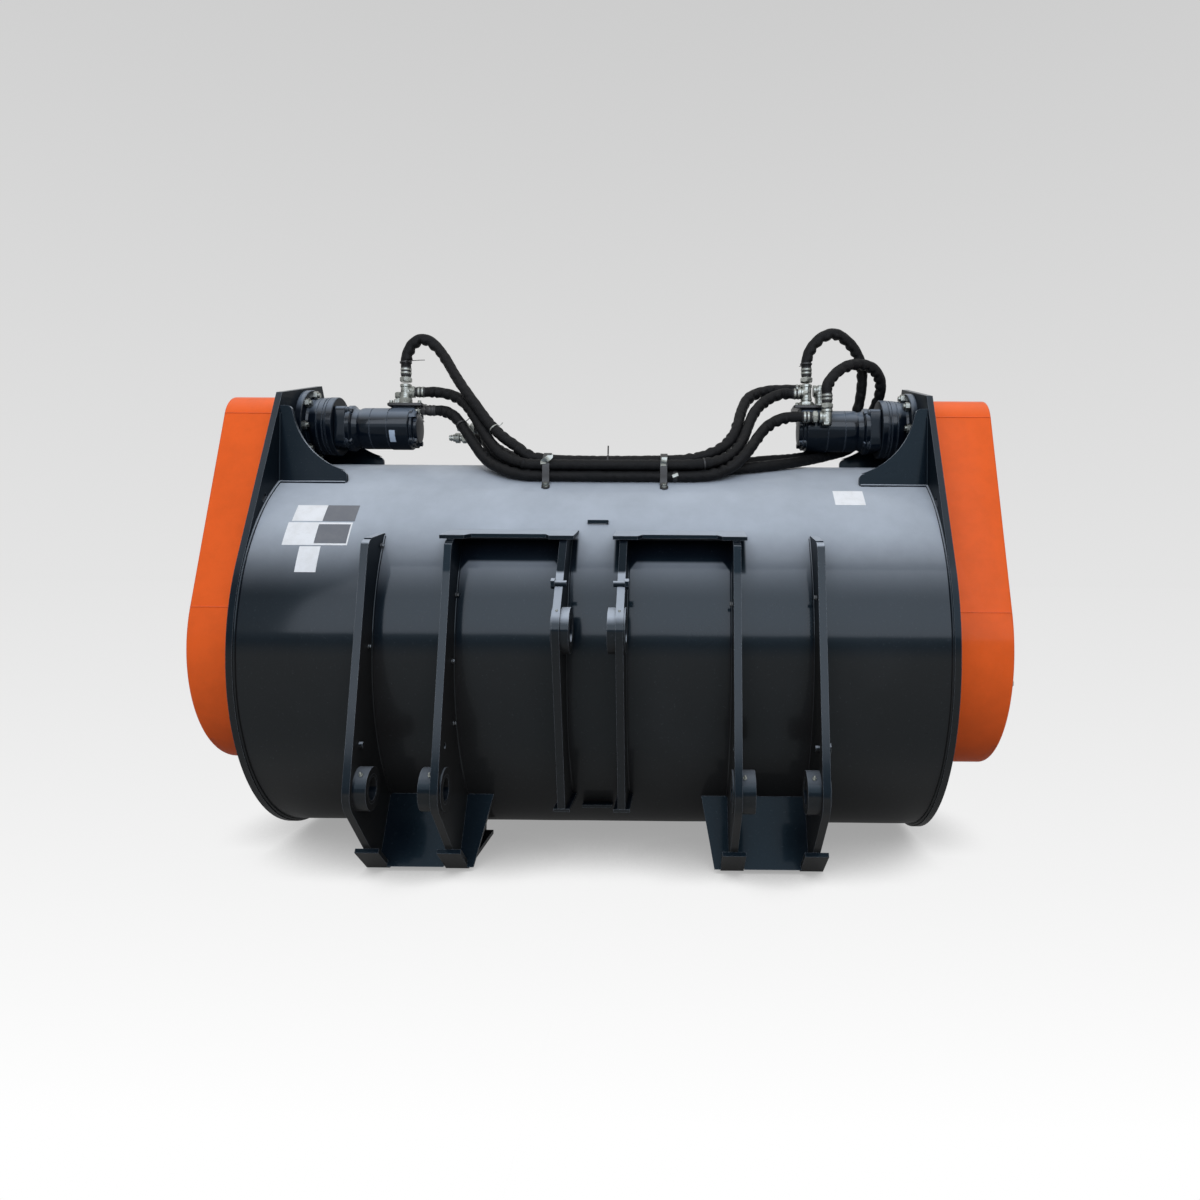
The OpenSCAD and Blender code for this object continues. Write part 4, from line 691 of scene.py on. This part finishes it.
def hex_nut(heap, origin, direction, flats, height, turn=0.0, washer=0.0):
    """A hexagon with both ends chamfered, over a thin washer where one is asked for."""
    if washer:
        rim = washer - 0.6
        heap.turned(origin, direction, [(rim, 0), (washer, 0.6), (washer, 2), (rim, 2.6)], 28)
        origin = np.asarray(origin, float) + 0.0024 * across_to(direction)[0]
    past, low, chamfer = flats * 0.62, flats * 0.485, flats * 0.07
    profile = [(low, 0), (past, chamfer), (past, height - chamfer), (low, height)]
    heap.turned(origin, direction, profile, 36, flats, turn)


def hex_bolt(heap, origin, direction, flats, turn=0.0):
    """A hexagon head over its washer."""
    hex_nut(heap, origin, direction, flats, flats * 0.62, turn, flats * 0.66)


def pipe(heap, first, last, radius):
    """A round bar between two points with a small chamfer at each end."""
    first, last = np.asarray(first, float), np.asarray(last, float)
    long = np.linalg.norm(last - first) * 1000
    edge = min(1.2, long / 4)
    profile = [(radius - edge, 0), (radius, edge), (radius, long - edge), (radius - edge, long)]
    heap.turned(first, last - first, profile, 24)


def hose_end(bright, dark, origin, direction, flats=34):
    """The end of a hose, along the direction from the hose to its port: a dark collar under two rolled
    bands, a neck and a swivel nut."""
    dark.turned(origin, direction, [(15, -6), (16.3, -4), (16.3, 22), (14, 25.5)], 32)
    for at in (-1, 10.5):
        bright.turned(origin, direction, [(16, at), (17.1, at + 0.6), (17.6, at + 3), (17.6, at + 4),
                                          (17.1, at + 6.4), (16, at + 7)], 36)
    bright.turned(origin, direction, [(12.8, 20), (12.8, 26.2), (14.2, 26.8), (14.2, 30)], 28)
    hex_nut(bright, np.asarray(origin, float) + 0.0275 * across_to(direction)[0], direction, flats, 15)


def drive_unit(side):
    """A gearbox with its flange, and a hydraulic motor with a square adapter, seams between its sections,
    a port block that flares out to the body and a bolted end cap."""
    name = "left" if side < 0 else "right"
    origin, along, inwards = np.array([0, motor_y, motor_z]), (side, 0, 0), (-side, 0, 0)
    back, up = np.array([0, -1, 0]), np.array([0, 0, 1])
    gear = Heap()
    gear.turned(origin, along, [
        (78, 858), (90.5, 858.2), (92.5, 860), (92.5, 875.5), (90.5, 877), (90.5, 878.5), (92.5, 880),
        (92, 885), (89.5, 886), (89.5, 888), (91.5, 889), (91, 902), (88.5, 904), (88.5, 906), (90, 907),
        (89, 918), (85, 927), (83, 933), (85, 940), (90, 942), (112, 942), (114, 944), (114, 961.8),
        (60, 962), (60, 986), (25.5, 986)], 96)
    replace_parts(gear.piece(name + "_gear_case", machine_paint, sharp=28), name + "_gearbox")

    motor = Heap()
    low = np.array([0, 0, -motor_drop])
    motor.turned(origin + low, along, [
        (40.5, 604), (44.5, 604.8), (46, 607), (46, 615), (47.5, 616.5), (56, 617), (58, 619), (58, 625),
        (60, 626.5), (65.5, 627.5), (67.2, 630), (67.2, 691), (66, 692.2), (64, 692.6), (64, 694.6),
        (65.5, 695), (65.5, 746.2), (64, 746.8), (64, 748.8), (65.5, 749.4), (65.5, 776), (64, 784),
        (60.5, 790), (60.5, 796), (64, 805), (71, 810), (72.8, 812), (72.8, 824)], 96)
    for k, angle in enumerate(np.radians([38, 142, 218, 322])):
        spot = low + place(side, 0.617, 0.0545 * math.sin(angle), 0.0545 * math.cos(angle))
        motor.turned(spot, along, [(13, 0), (14.5, 1.2), (14.5, 11)], 24)
        hex_bolt(motor, spot, inwards, 15, 0.3 * k)
    plate(motor, low + place(side, 0.824, 0, 0), -back * side, up, 64, 64, 17, 34, 2)
    for du in (-0.047, 0.047):
        for dv in (-0.047, 0.047):
            spot = low + place(side, 0.8242, du, dv)
            motor.turned(spot + (side * 0.001, 0, 0), inwards, [(14, 0), (15, 2), (15, 5), (13.8, 6.2)], 28)
            hex_bolt(motor, spot - (side * 0.005, 0, 0), inwards, 18.5, 0.2)
    block(motor, low + place(side, 0.65, 0, 0), along, back * -side, [
        (46, 56, 12, 30), (44, 48, 12, 42), (40, 39, 10, 54), (38, 34, 9, 61), (39, 34.5, 9, 65),
        (45, 38.5, 8, 68)])
    if side > 0:
        block(motor, place(side, 0.684, 0.03, 0.018), along, up, [
            (25, 25, 7, 0), (23, 23, 6, 25), (18, 18, 5, 33), (18, 18, 5, 37), (16.5, 16.5, 4, 38)])
    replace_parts(motor.piece(name + "_motor_body", machine_paint, sharp=28), name + "_motor")

    ports = Heap()
    plate(ports, low + place(side, 0.643, 0, port_rise - 0.009), along, back * -side, 56, 44, 6, 9)
    ports.piece(name + "_port_plate", dark_plate)
    bolts = Heap()
    for dx in (-0.045, 0.045):
        for dy in (-0.034, 0.034):
            hex_bolt(bolts, low + place(side, 0.643 + dx, dy, port_rise), up, 10, 0.4 + dx * 9)
    bolts.piece(name + "_port_bolts", zinc)


def tee(heap, centre, directions, radius=15, reach=24):
    """A forged pipe piece: a round bar in each direction with a thicker collar at its end."""
    centre, collar = np.asarray(centre, float), radius + 2.2
    for direction in directions:
        heap.turned(centre - 0.004 * across_to(direction)[0], direction, [
            (radius - 1, 0), (radius, 2), (radius, reach - 6), (collar, reach - 4), (collar, reach + 3),
            (radius + 1, reach + 4)], 32)


def left_port_fittings():
    """Fittings on the left motor: an upright tee with the loop hose above it and the feed hose beside it, a
    plugged stub next to it, and the thin drain connection at the side."""
    bright, dark, black = Heap(), Heap(), Heap()
    x, y = -0.648, -0.095
    face = motor_z - motor_drop + port_rise
    hose_end(bright, dark, (x, y, 1.47), (0, 0, -1))
    hose_end(bright, dark, (-0.59, y, 1.396), (-1, 0, 0))
    hex_nut(bright, (x, y, face), (0, 0, 1), 40, 19, 0.2)
    bright.turned((x, y, face), (0, 0, 1), [(23.5, 0), (24, 1), (24, 3), (23, 4)], 32)
    pipe(bright, (x, y, face + 0.01), (x, y, 1.39), 17)
    tee(bright, (x, y, 1.396), [(0, 0, 1), (0, 0, -1), (1, 0, 0)], 16)
    stub = np.array([-0.674, -0.066, face])
    hex_nut(bright, stub, (0, 0, 1), 40, 20, 0.5)
    pipe(bright, stub, stub + (0, 0, 0.026), 15)
    hex_nut(bright, stub + (0, 0, 0.0235), (0, 0, 1), 32, 19, 0.1)
    low = np.array([-0.552, -0.108, 1.335])
    hose_end(black, dark, low, (-1, 0, 0), 28)
    pipe(bright, low - (0.04, 0, 0), low - (0.06, 0, 0), 8)
    hex_nut(bright, low - (0.046, 0, 0), (-1, 0, 0), 24, 6)
    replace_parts(bright.piece("left_port_fittings", zinc), "left_fittings")
    dark.piece("left_hose_collars", rubber)
    black.piece("left_drain_end", dark_plate)


def right_port_fittings():
    """Fittings on the right motor: a tee that takes the feed hose and leads up to the supply loop, a second
    riser for the loop hose, and a tee at the side port for the drain hose and the return loop."""
    bright, dark = Heap(), Heap()
    face = motor_z - motor_drop + port_rise
    x, y = 0.63, -0.095
    hose_end(bright, dark, (x, y, 1.476), (0, 0, -1), 36)
    hose_end(bright, dark, (0.591, y, 1.397), (1, 0, 0))
    pipe(bright, (x, y, face + 0.01), (x, y, 1.392), 16.5)
    hex_nut(bright, (x, y, face), (0, 0, 1), 44, 14, 0.4)
    bright.turned((x, y, face), (0, 0, 1), [(25, 0), (25.6, 1), (25.6, 3), (24.5, 4)], 32)
    tee(bright, (x, y, 1.4), [(0, 0, 1), (0, 0, -1), (-1, 0, 0)], 15.8, 26)
    far = np.array([0.678, -0.06, 1.417])
    hose_end(bright, dark, (0.602, -0.06, 1.417), (1, 0, 0))
    hex_nut(bright, (far[0], far[1], face), (0, 0, 1), 42, 14, 0.1)
    pipe(bright, (far[0], far[1], face + 0.01), far - (0, 0, 0.006), 16)
    tee(bright, far - (0, 0, 0.004), [(-1, 0, 0), (0, 0, -1)], 16.5, 22)
    bright.turned(far - (0, 0, 0.006), (0, 0, 1), [(16.5, 0), (16.5, 10), (13, 18), (6, 21)], 28)
    inner = np.array([0.684, -0.172, 1.311])
    hose_end(bright, dark, (0.684, -0.172, 1.38), (0, 0, -1))
    hose_end(bright, dark, (0.612, -0.172, 1.311), (1, 0, 0))
    tee(bright, inner, [(0, 0, 1), (-1, 0, 0)])
    pipe(bright, inner - (0, 0, 0.018), inner + (0, 0, 0.01), 15.5)
    hex_nut(bright, inner - (0, 0, 0.026), (0, 0, 1), 26, 10, 0.3)
    side_port = np.array([0.684, motor_y - 0.068, 1.304])
    pipe(bright, side_port, (0.684, -0.168, 1.304), 15)
    hex_nut(bright, side_port, (0, -1, 0), 34, 10, 0.2)
    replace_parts(bright.piece("right_port_fittings", zinc), "right_fittings")
    dark.piece("right_hose_collars", rubber)


def hose_couplers():
    """Quick couplers on the two free hose ends: a hexagon, a groove, a knurled sleeve and a nose with its
    locking groove. The knurl is a row of small ridges along the sleeve."""
    made = {}
    for hose in ("right_loop_hose", "right_inner_loop_hose"):
        bright, dark = Heap(), Heap()
        end, along = hose_paths[hose][-1], (-1, 0, 0)
        dark.turned(end + (0.03, 0, 0), along, [(15, 0), (16.4, 2), (16.4, 26), (14, 29.5)], 32)
        for at in (4, 16):
            rolled = [(16, at), (17.4, at + 1), (17.4, at + 6), (16, at + 7)]
            bright.turned(end + (0.03, 0, 0), along, rolled, 32)
        bright.turned(end + (0.004, 0, 0), along, [(12.5, 0), (12.5, 6)], 28)
        hex_nut(bright, end, along, 30, 14, 0.3)
        ridges = [(16.8 - 0.4 * (k % 2), 21.5 + 1.2 * k) for k in range(12)]
        bright.turned(end, along, [
            (10.5, 13), (10.5, 20.5), (15.5, 20.8), *ridges, (15, 36), (12.8, 36.4), (11.8, 43), (8.8, 44),
            (8.8, 48), (10.5, 48.5), (10.5, 50), (8.8, 50.5), (8.8, 55), (7.8, 56)], 36)
        coupler = bright.piece(hose + "_coupler", zinc)
        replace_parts(coupler, "quick_couplers")
        made[hose] = [coupler, dark.piece(hose + "_collar", rubber)]
    return made


def band(heap, points, step, width, thickness, spare=(1, 0, 0)):
    """A flat band along a smooth path through the points, wide across the spare direction."""
    t, w = thickness / 2000, width / 2000
    heap.grid(swept(smooth_path(points, step), [(t, -w), (t, w), (-t, w), (-t, -w)], spare))


def strap_clamps():
    """Two straps over the hose bundle: each is a flat band that follows the outermost hoses from the shell
    and back to it, with a bent bright end piece in front and a bolt through its foot."""
    straps, bright = Heap(), Heap()
    outline = [
        (-0.324, 1.0705), (-0.316, 1.079), (-0.3095, 1.09), (-0.308, 1.102), (-0.3085, 1.12),
        (-0.3075, 1.144), (-0.299, 1.164), (-0.279, 1.177), (-0.258, 1.1815), (-0.237, 1.178),
        (-0.218, 1.164), (-0.208, 1.145), (-0.195, 1.1385)]
    for x, lean, low in ((-0.168, 0.014, 1.144), (0.181, 0.002, 1.14)):
        high = low + 0.025
        band(straps, [(x, y, z) for y, z in outline], 0.003, 21, 2.6)
        band(bright, [
            (x - lean / 2, -0.3095, low), (x - lean / 2, -0.311, low + 0.007),
            (x + lean / 4, -0.3165, low + 0.013), (x + lean, -0.317, high - 0.004), (x + lean, -0.316, high),
        ], 0.002, 16.5, 1.8)
        foot, out = np.array([x + 0.002, -0.3185, 1.0785]), (0, -0.58, 0.81)
        hex_bolt(bright, foot, out, 12, 0.2)
        straps.turned(foot - (0, 0, 0.004), out, [(12, 0), (12, 4), (11, 5)], 24)
    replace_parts(straps.piece("hose_straps", dark_plate), "hose_clamps")
    bright.piece("strap_ends", zinc)


def nearest(path, point):
    """The index of the point of a path that lies nearest to a place."""
    return int(np.argmin(np.linalg.norm(path - np.array(point), axis=1)))


def hose_tie(heap, path, near, radius, width, head_turn, tail):
    """A cable tie round a hose, near a place: a ring, a square head, and a tail from the head."""
    i = nearest(path, near)
    along, inner, outer, half = path[i + 1] - path[i - 1], radius - 0.8, radius + 1.2, width / 2
    heap.turned(path[i], along, [(inner, -half), (outer, -half), (outer, half), (inner, half)], 36)
    unit, side, up = across_to(along)
    out = math.cos(head_turn) * side + math.sin(head_turn) * up
    head = path[i] + out * (radius - 0.5) / 1000
    block(heap, head, unit, np.cross(unit, out), [
        (3.6, 3.8, 0.8, 0), (4, 4.2, 1, 1), (4, 4.2, 1, 5), (3.4, 3.6, 1, 5.6)])
    start, tail = head + out * 0.003, np.array(tail)
    points = [start, start + 0.3 * tail + 0.002 * out, start + 0.7 * tail + 0.003 * out, start + tail]
    spare = (0, 1, 0) if abs(tail[0]) > np.linalg.norm(tail) / 2 else (1, 0, 0)
    band(heap, points, 0.004, 4.2, 1.4, spare)


def hose_ties():
    """Cable ties where the hoses run together, with the worm clamp on the drain hose."""
    ties, bright = Heap(), Heap()
    loop, feed, lower = "left_loop_hose", "left_feed_hose", "lower_hose"
    for heap, hose, near, radius, width, head_turn, tail in (
            (ties, loop, (-0.648, -0.095, 1.49), 17.8, 4.8, 0.3, (0.06, 0.0, 0.004)),
            (ties, lower, (-0.45, -0.165, 1.28), 17.2, 6, 1.2, (0.02, -0.004, 0.016)),
            (ties, loop, (0.011, -0.258, 1.163), 17.2, 4.8, 1.5, (0.001, -0.008, 0.026)),
            (ties, feed, (0.3, -0.283, 1.15), 17.2, 4.8, 0.6, (0.012, -0.006, 0.01)),
            (ties, "right_loop_hose", (0.63, -0.095, 1.492), 17.8, 4.8, 2.6, (-0.03, 0.0, -0.003)),
            (bright, loop, (-0.34, -0.215, 1.262), 17.2, 4, 0.9, (0.01, -0.002, 0.01))):
        hose_tie(heap, hose_paths[hose], near, radius, width, head_turn, tail)
    path = hose_paths[lower]
    i = nearest(path, (0.216, -0.29, 1.111))
    clamp = [(15.8, -6), (17.2, -6), (17.2, 6), (15.8, 6)]
    ties.turned(path[i], path[i + 1] - path[i - 1], clamp, 36)
    housing = path[i] + (0, -0.0165, 0.001)
    plate(bright, housing, (0.92, 0, 0.39), (-0.39, 0, 0.92), 9.5, 5.2, 1.5, 7, 1)
    ties.piece("cable_ties", nylon)
    bright.piece("bright_ties", zinc)


def blank_panels():
    """Blank panels where the real bucket has its stickers. Each is a thin sheet bent to the shell or to the
    motor: a grid over X and the angle, lifted by its thickness and drawn down at its rim."""
    panels = {
        "white_panel_upper": (white_panel, [(-0.8635, 44.0), (-0.7775, 50.5)]),
        "white_panel_lower": (white_panel, [(-0.871, 51.0), (-0.69, 59.0)]),
        "white_panel_small": (white_panel, [(-0.82, 59.4), (-0.762, 67.4)]),
        "white_panel_right": (white_panel, [(0.676, 35.1), (0.7632, 42.3)]),
        "grey_panel_upper": (grey_panel, [(-0.777, 44.0), (-0.6865, 50.5)]),
        "grey_panel_lower": (grey_panel, [(-0.7835, 51.7), (-0.694, 58.4)]),
    }
    for name, (finish, ((x0, low), (x1, high))) in panels.items():
        lift = 0.0007 if name == "grey_panel_lower" else 0.0004
        curved_panel(name, finish, x0, x1, low, high, 0, axis_z, drum_r, lift)
    motor_middle = motor_z - motor_drop
    curved_panel("motor_panel", pale_panel, -0.685, -0.667, 102, 136, motor_y, motor_middle, 0.0672, 0.0004)


def curved_panel(name, finish, x0, x1, low, high, y, z, radius, lift):
    """One sheet over a range of X and of angles behind the top of a round body, given in degrees."""
    steps = 12
    u = np.concatenate([[0, 0], np.linspace(0, 1, steps), [1, 1]])
    rim = np.concatenate([[1, 0], np.zeros(steps), [0, 1]])
    down = np.maximum(rim[:, None], rim[None, :])
    angle = np.radians(low + (high - low) * u)
    r = radius + 0.0001 + lift * (1 - down) - 0.0006 * down
    points = points_of(x0 + (x1 - x0) * u[:, None], y - r * np.sin(angle), z + r * np.cos(angle))
    faces = grid_faces(len(u), len(u), closed=False)
    sharpen(add_mesh(name, points.reshape(-1, 3), faces, finish), 30)


def grease_nipples():
    """A hexagon, a neck and a ball at each boss of the lift and tilt lugs."""
    heap = Heap()
    lean = math.radians(42)
    out = np.array([0, -math.sin(lean), math.cos(lean)])
    lift, tilt = (-0.66, 0.264, 0.056), (-0.666, 0.675, 0.06)
    neck_and_ball = [(3, 4), (3, 8.5), (2.2, 9.5), (3.4, 11), (3.4, 12.5), (1.6, 14.5)]
    for x, (y, z, radius) in ((-0.5735, lift), (-0.3985, lift), (-0.079, tilt),
                              (0.5735, lift), (0.3985, lift), (0.079, tilt)):
        spot = np.array([x, y, z]) + out * (radius - 0.001)
        hex_nut(heap, spot, out, 10, 5)
        heap.turned(spot, out, neck_and_ball, 18)
    heap.piece("grease_nipples", zinc)


def lug_screws():
    """Small hexagon bolts on the inner faces of the lift lugs."""
    heap = Heap()
    for x, y, z in ((-0.591, -0.505, 0.894), (-0.591, -0.6, 0.625), (-0.371, -0.5575, 0.762),
                    (-0.371, -0.596, 0.588), (-0.371, -0.573, 0.42), (0.591, -0.6066, 0.7626),
                    (0.371, -0.6, 0.744)):
        hex_bolt(heap, (x, y, z), (-math.copysign(1, x), 0, 0), 10, 10 * y)
    heap.piece("lug_screws", dark_steel)


drive_unit(-1)
drive_unit(1)
left_port_fittings()
right_port_fittings()
couplers = hose_couplers()
for name, (piece, path, length) in hoses.items():
    tuple(path[0])
    "connector" if name in couplers else "object"
    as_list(couplers.get(name, []))
strap_clamps()
hose_ties()
blank_panels()
grease_nipples()
lug_screws()


# Weld beads

def weld_lines():
    """Beads where the plates meet the shell, the ears and each other."""
    heap = Heap()
    lug_top, lift_end, tilt_end, shell_end = np.radians([-55.7, -153, -133, 33])
    for s in (-1, 1):
        corner_x = s * (plate_x - 0.001)
        bead(heap, arc_at(corner_x, drum_r + 0.001, shell_end, -math.pi, 0.004), 0.0045, (1, 0, 0))
        for x, last in ((0.611, lift_end), (0.591, lift_end), (0.391, lift_end), (0.371, lift_end),
                        (0.07, tilt_end), (0.09, tilt_end)):
            bead(heap, arc_at(s * x, drum_r, lug_top, last), 0.0038, (1, 0, 0))
        for y in (-0.301, -0.289, 0.036, 0.048):
            z = axis_z + math.sqrt(drum_r ** 2 - y ** 2) + 0.001
            x = s * np.linspace(plate_x - 0.198, plate_x, 60)
            bead(heap, points_of(x, y, z), 0.004, (0, 1, 0))
            bead(heap, points_of(corner_x, y, np.linspace(z, z + 0.205, 60)), 0.004, (0, 1, 0))
    heap.piece("weld_beads", graphite, sharp=60)


weld_lines()


# Stage and light

def floor():
    """A pale floor. Camera, glossy and transmission rays see its tone, which whitens towards the viewer and
    darkens in a painted contact shadow where the object stands close; the light that it throws back is that
    of a grey floor."""
    material = bpy.data.materials.new("floor")
    f = Nodes(material, "ShaderNodeOutputMaterial")
    away = f.node("ShaderNodeTexCoord", {}, [], "Object").part(1) - camera_place[1]
    settings = {"operation": "DIVIDE", "use_clamp": True}
    near = f.node("ShaderNodeMath", settings, [1.378, away.math("MAXIMUM", 0.5)])
    tone = f.mix(near, horizon, (1.0, 1.0, 1.0))
    # Painted shadow: the tone darkens with the ambient occlusion of the object above it
    open_share = f.node("ShaderNodeAmbientOcclusion", {"samples": 16}, {"Distance": 0.3}, "AO")
    tone = f.mix(open_share.between(0.0, 0.8), (0.34, 0.34, 0.34), tone)
    f.show(f.node("ShaderNodeBsdfDiffuse", {}, {"Color": (0.3, 0.3, 0.3)}),
           f.node("ShaderNodeEmission", {}, {"Color": tone}))
    edge = np.linspace(-60, 60, 3)
    points = points_of(edge[:, None], edge[None, :], 0.0).reshape(-1, 3)
    mesh = bpy.data.meshes.new("floor")
    mesh.from_pydata(points.tolist(), [], grid_faces(3, 3, closed=False)[:, ::-1].tolist())
    mesh.materials.append(material)
    new_object("floor", mesh)


def sky():
    """A grey world that darkens a little upwards; the light that it gives is that of a dimmer grey room."""
    world = bpy.data.worlds.new("world")
    bpy.context.scene.world = world
    w = Nodes(world, "ShaderNodeOutputWorld")
    height = w.node("ShaderNodeTexCoord", {}, [], "Generated").part(2)
    tone = w.node("ShaderNodeValToRGB", {"stops": [(0.0, horizon), (0.53, (0.61, 0.61, 0.61))]}, [height])
    w.show(w.node("ShaderNodeBackground", {}, [(0.3, 0.3, 0.3)]), w.node("ShaderNodeBackground", {}, [tone]))


def soft_lamp(name, power, stand, aim, wide, deep, tint=(1, 1, 1)):
    """A wide lamp of that power in watts, which looks from its stand to its aim and is not seen itself."""
    data = bpy.data.lights.new(name, "AREA")
    data.shape, data.size, data.size_y = "RECTANGLE", wide, deep
    data.energy, data.color = power, tint
    lamp = new_object(name, data)
    lamp.location = stand
    lamp.rotation_euler = (Vector(aim) - Vector(stand)).to_track_quat("-Z", "Y").to_euler()
    lamp.visible_camera = False


floor()
sky()
soft_lamp("overhead", 55, (0.0, -0.8, 3.9), (0.0, -0.8, 0.0), 6.5, 3.8)
soft_lamp("fill", 390, (0.2, -6.6, 4.65), (0.2, 0.0, 4.6), 7.4, 6.4, (0.88, 0.96, 1.1))

bpy.context.scene.view_settings.view_transform = "Standard"
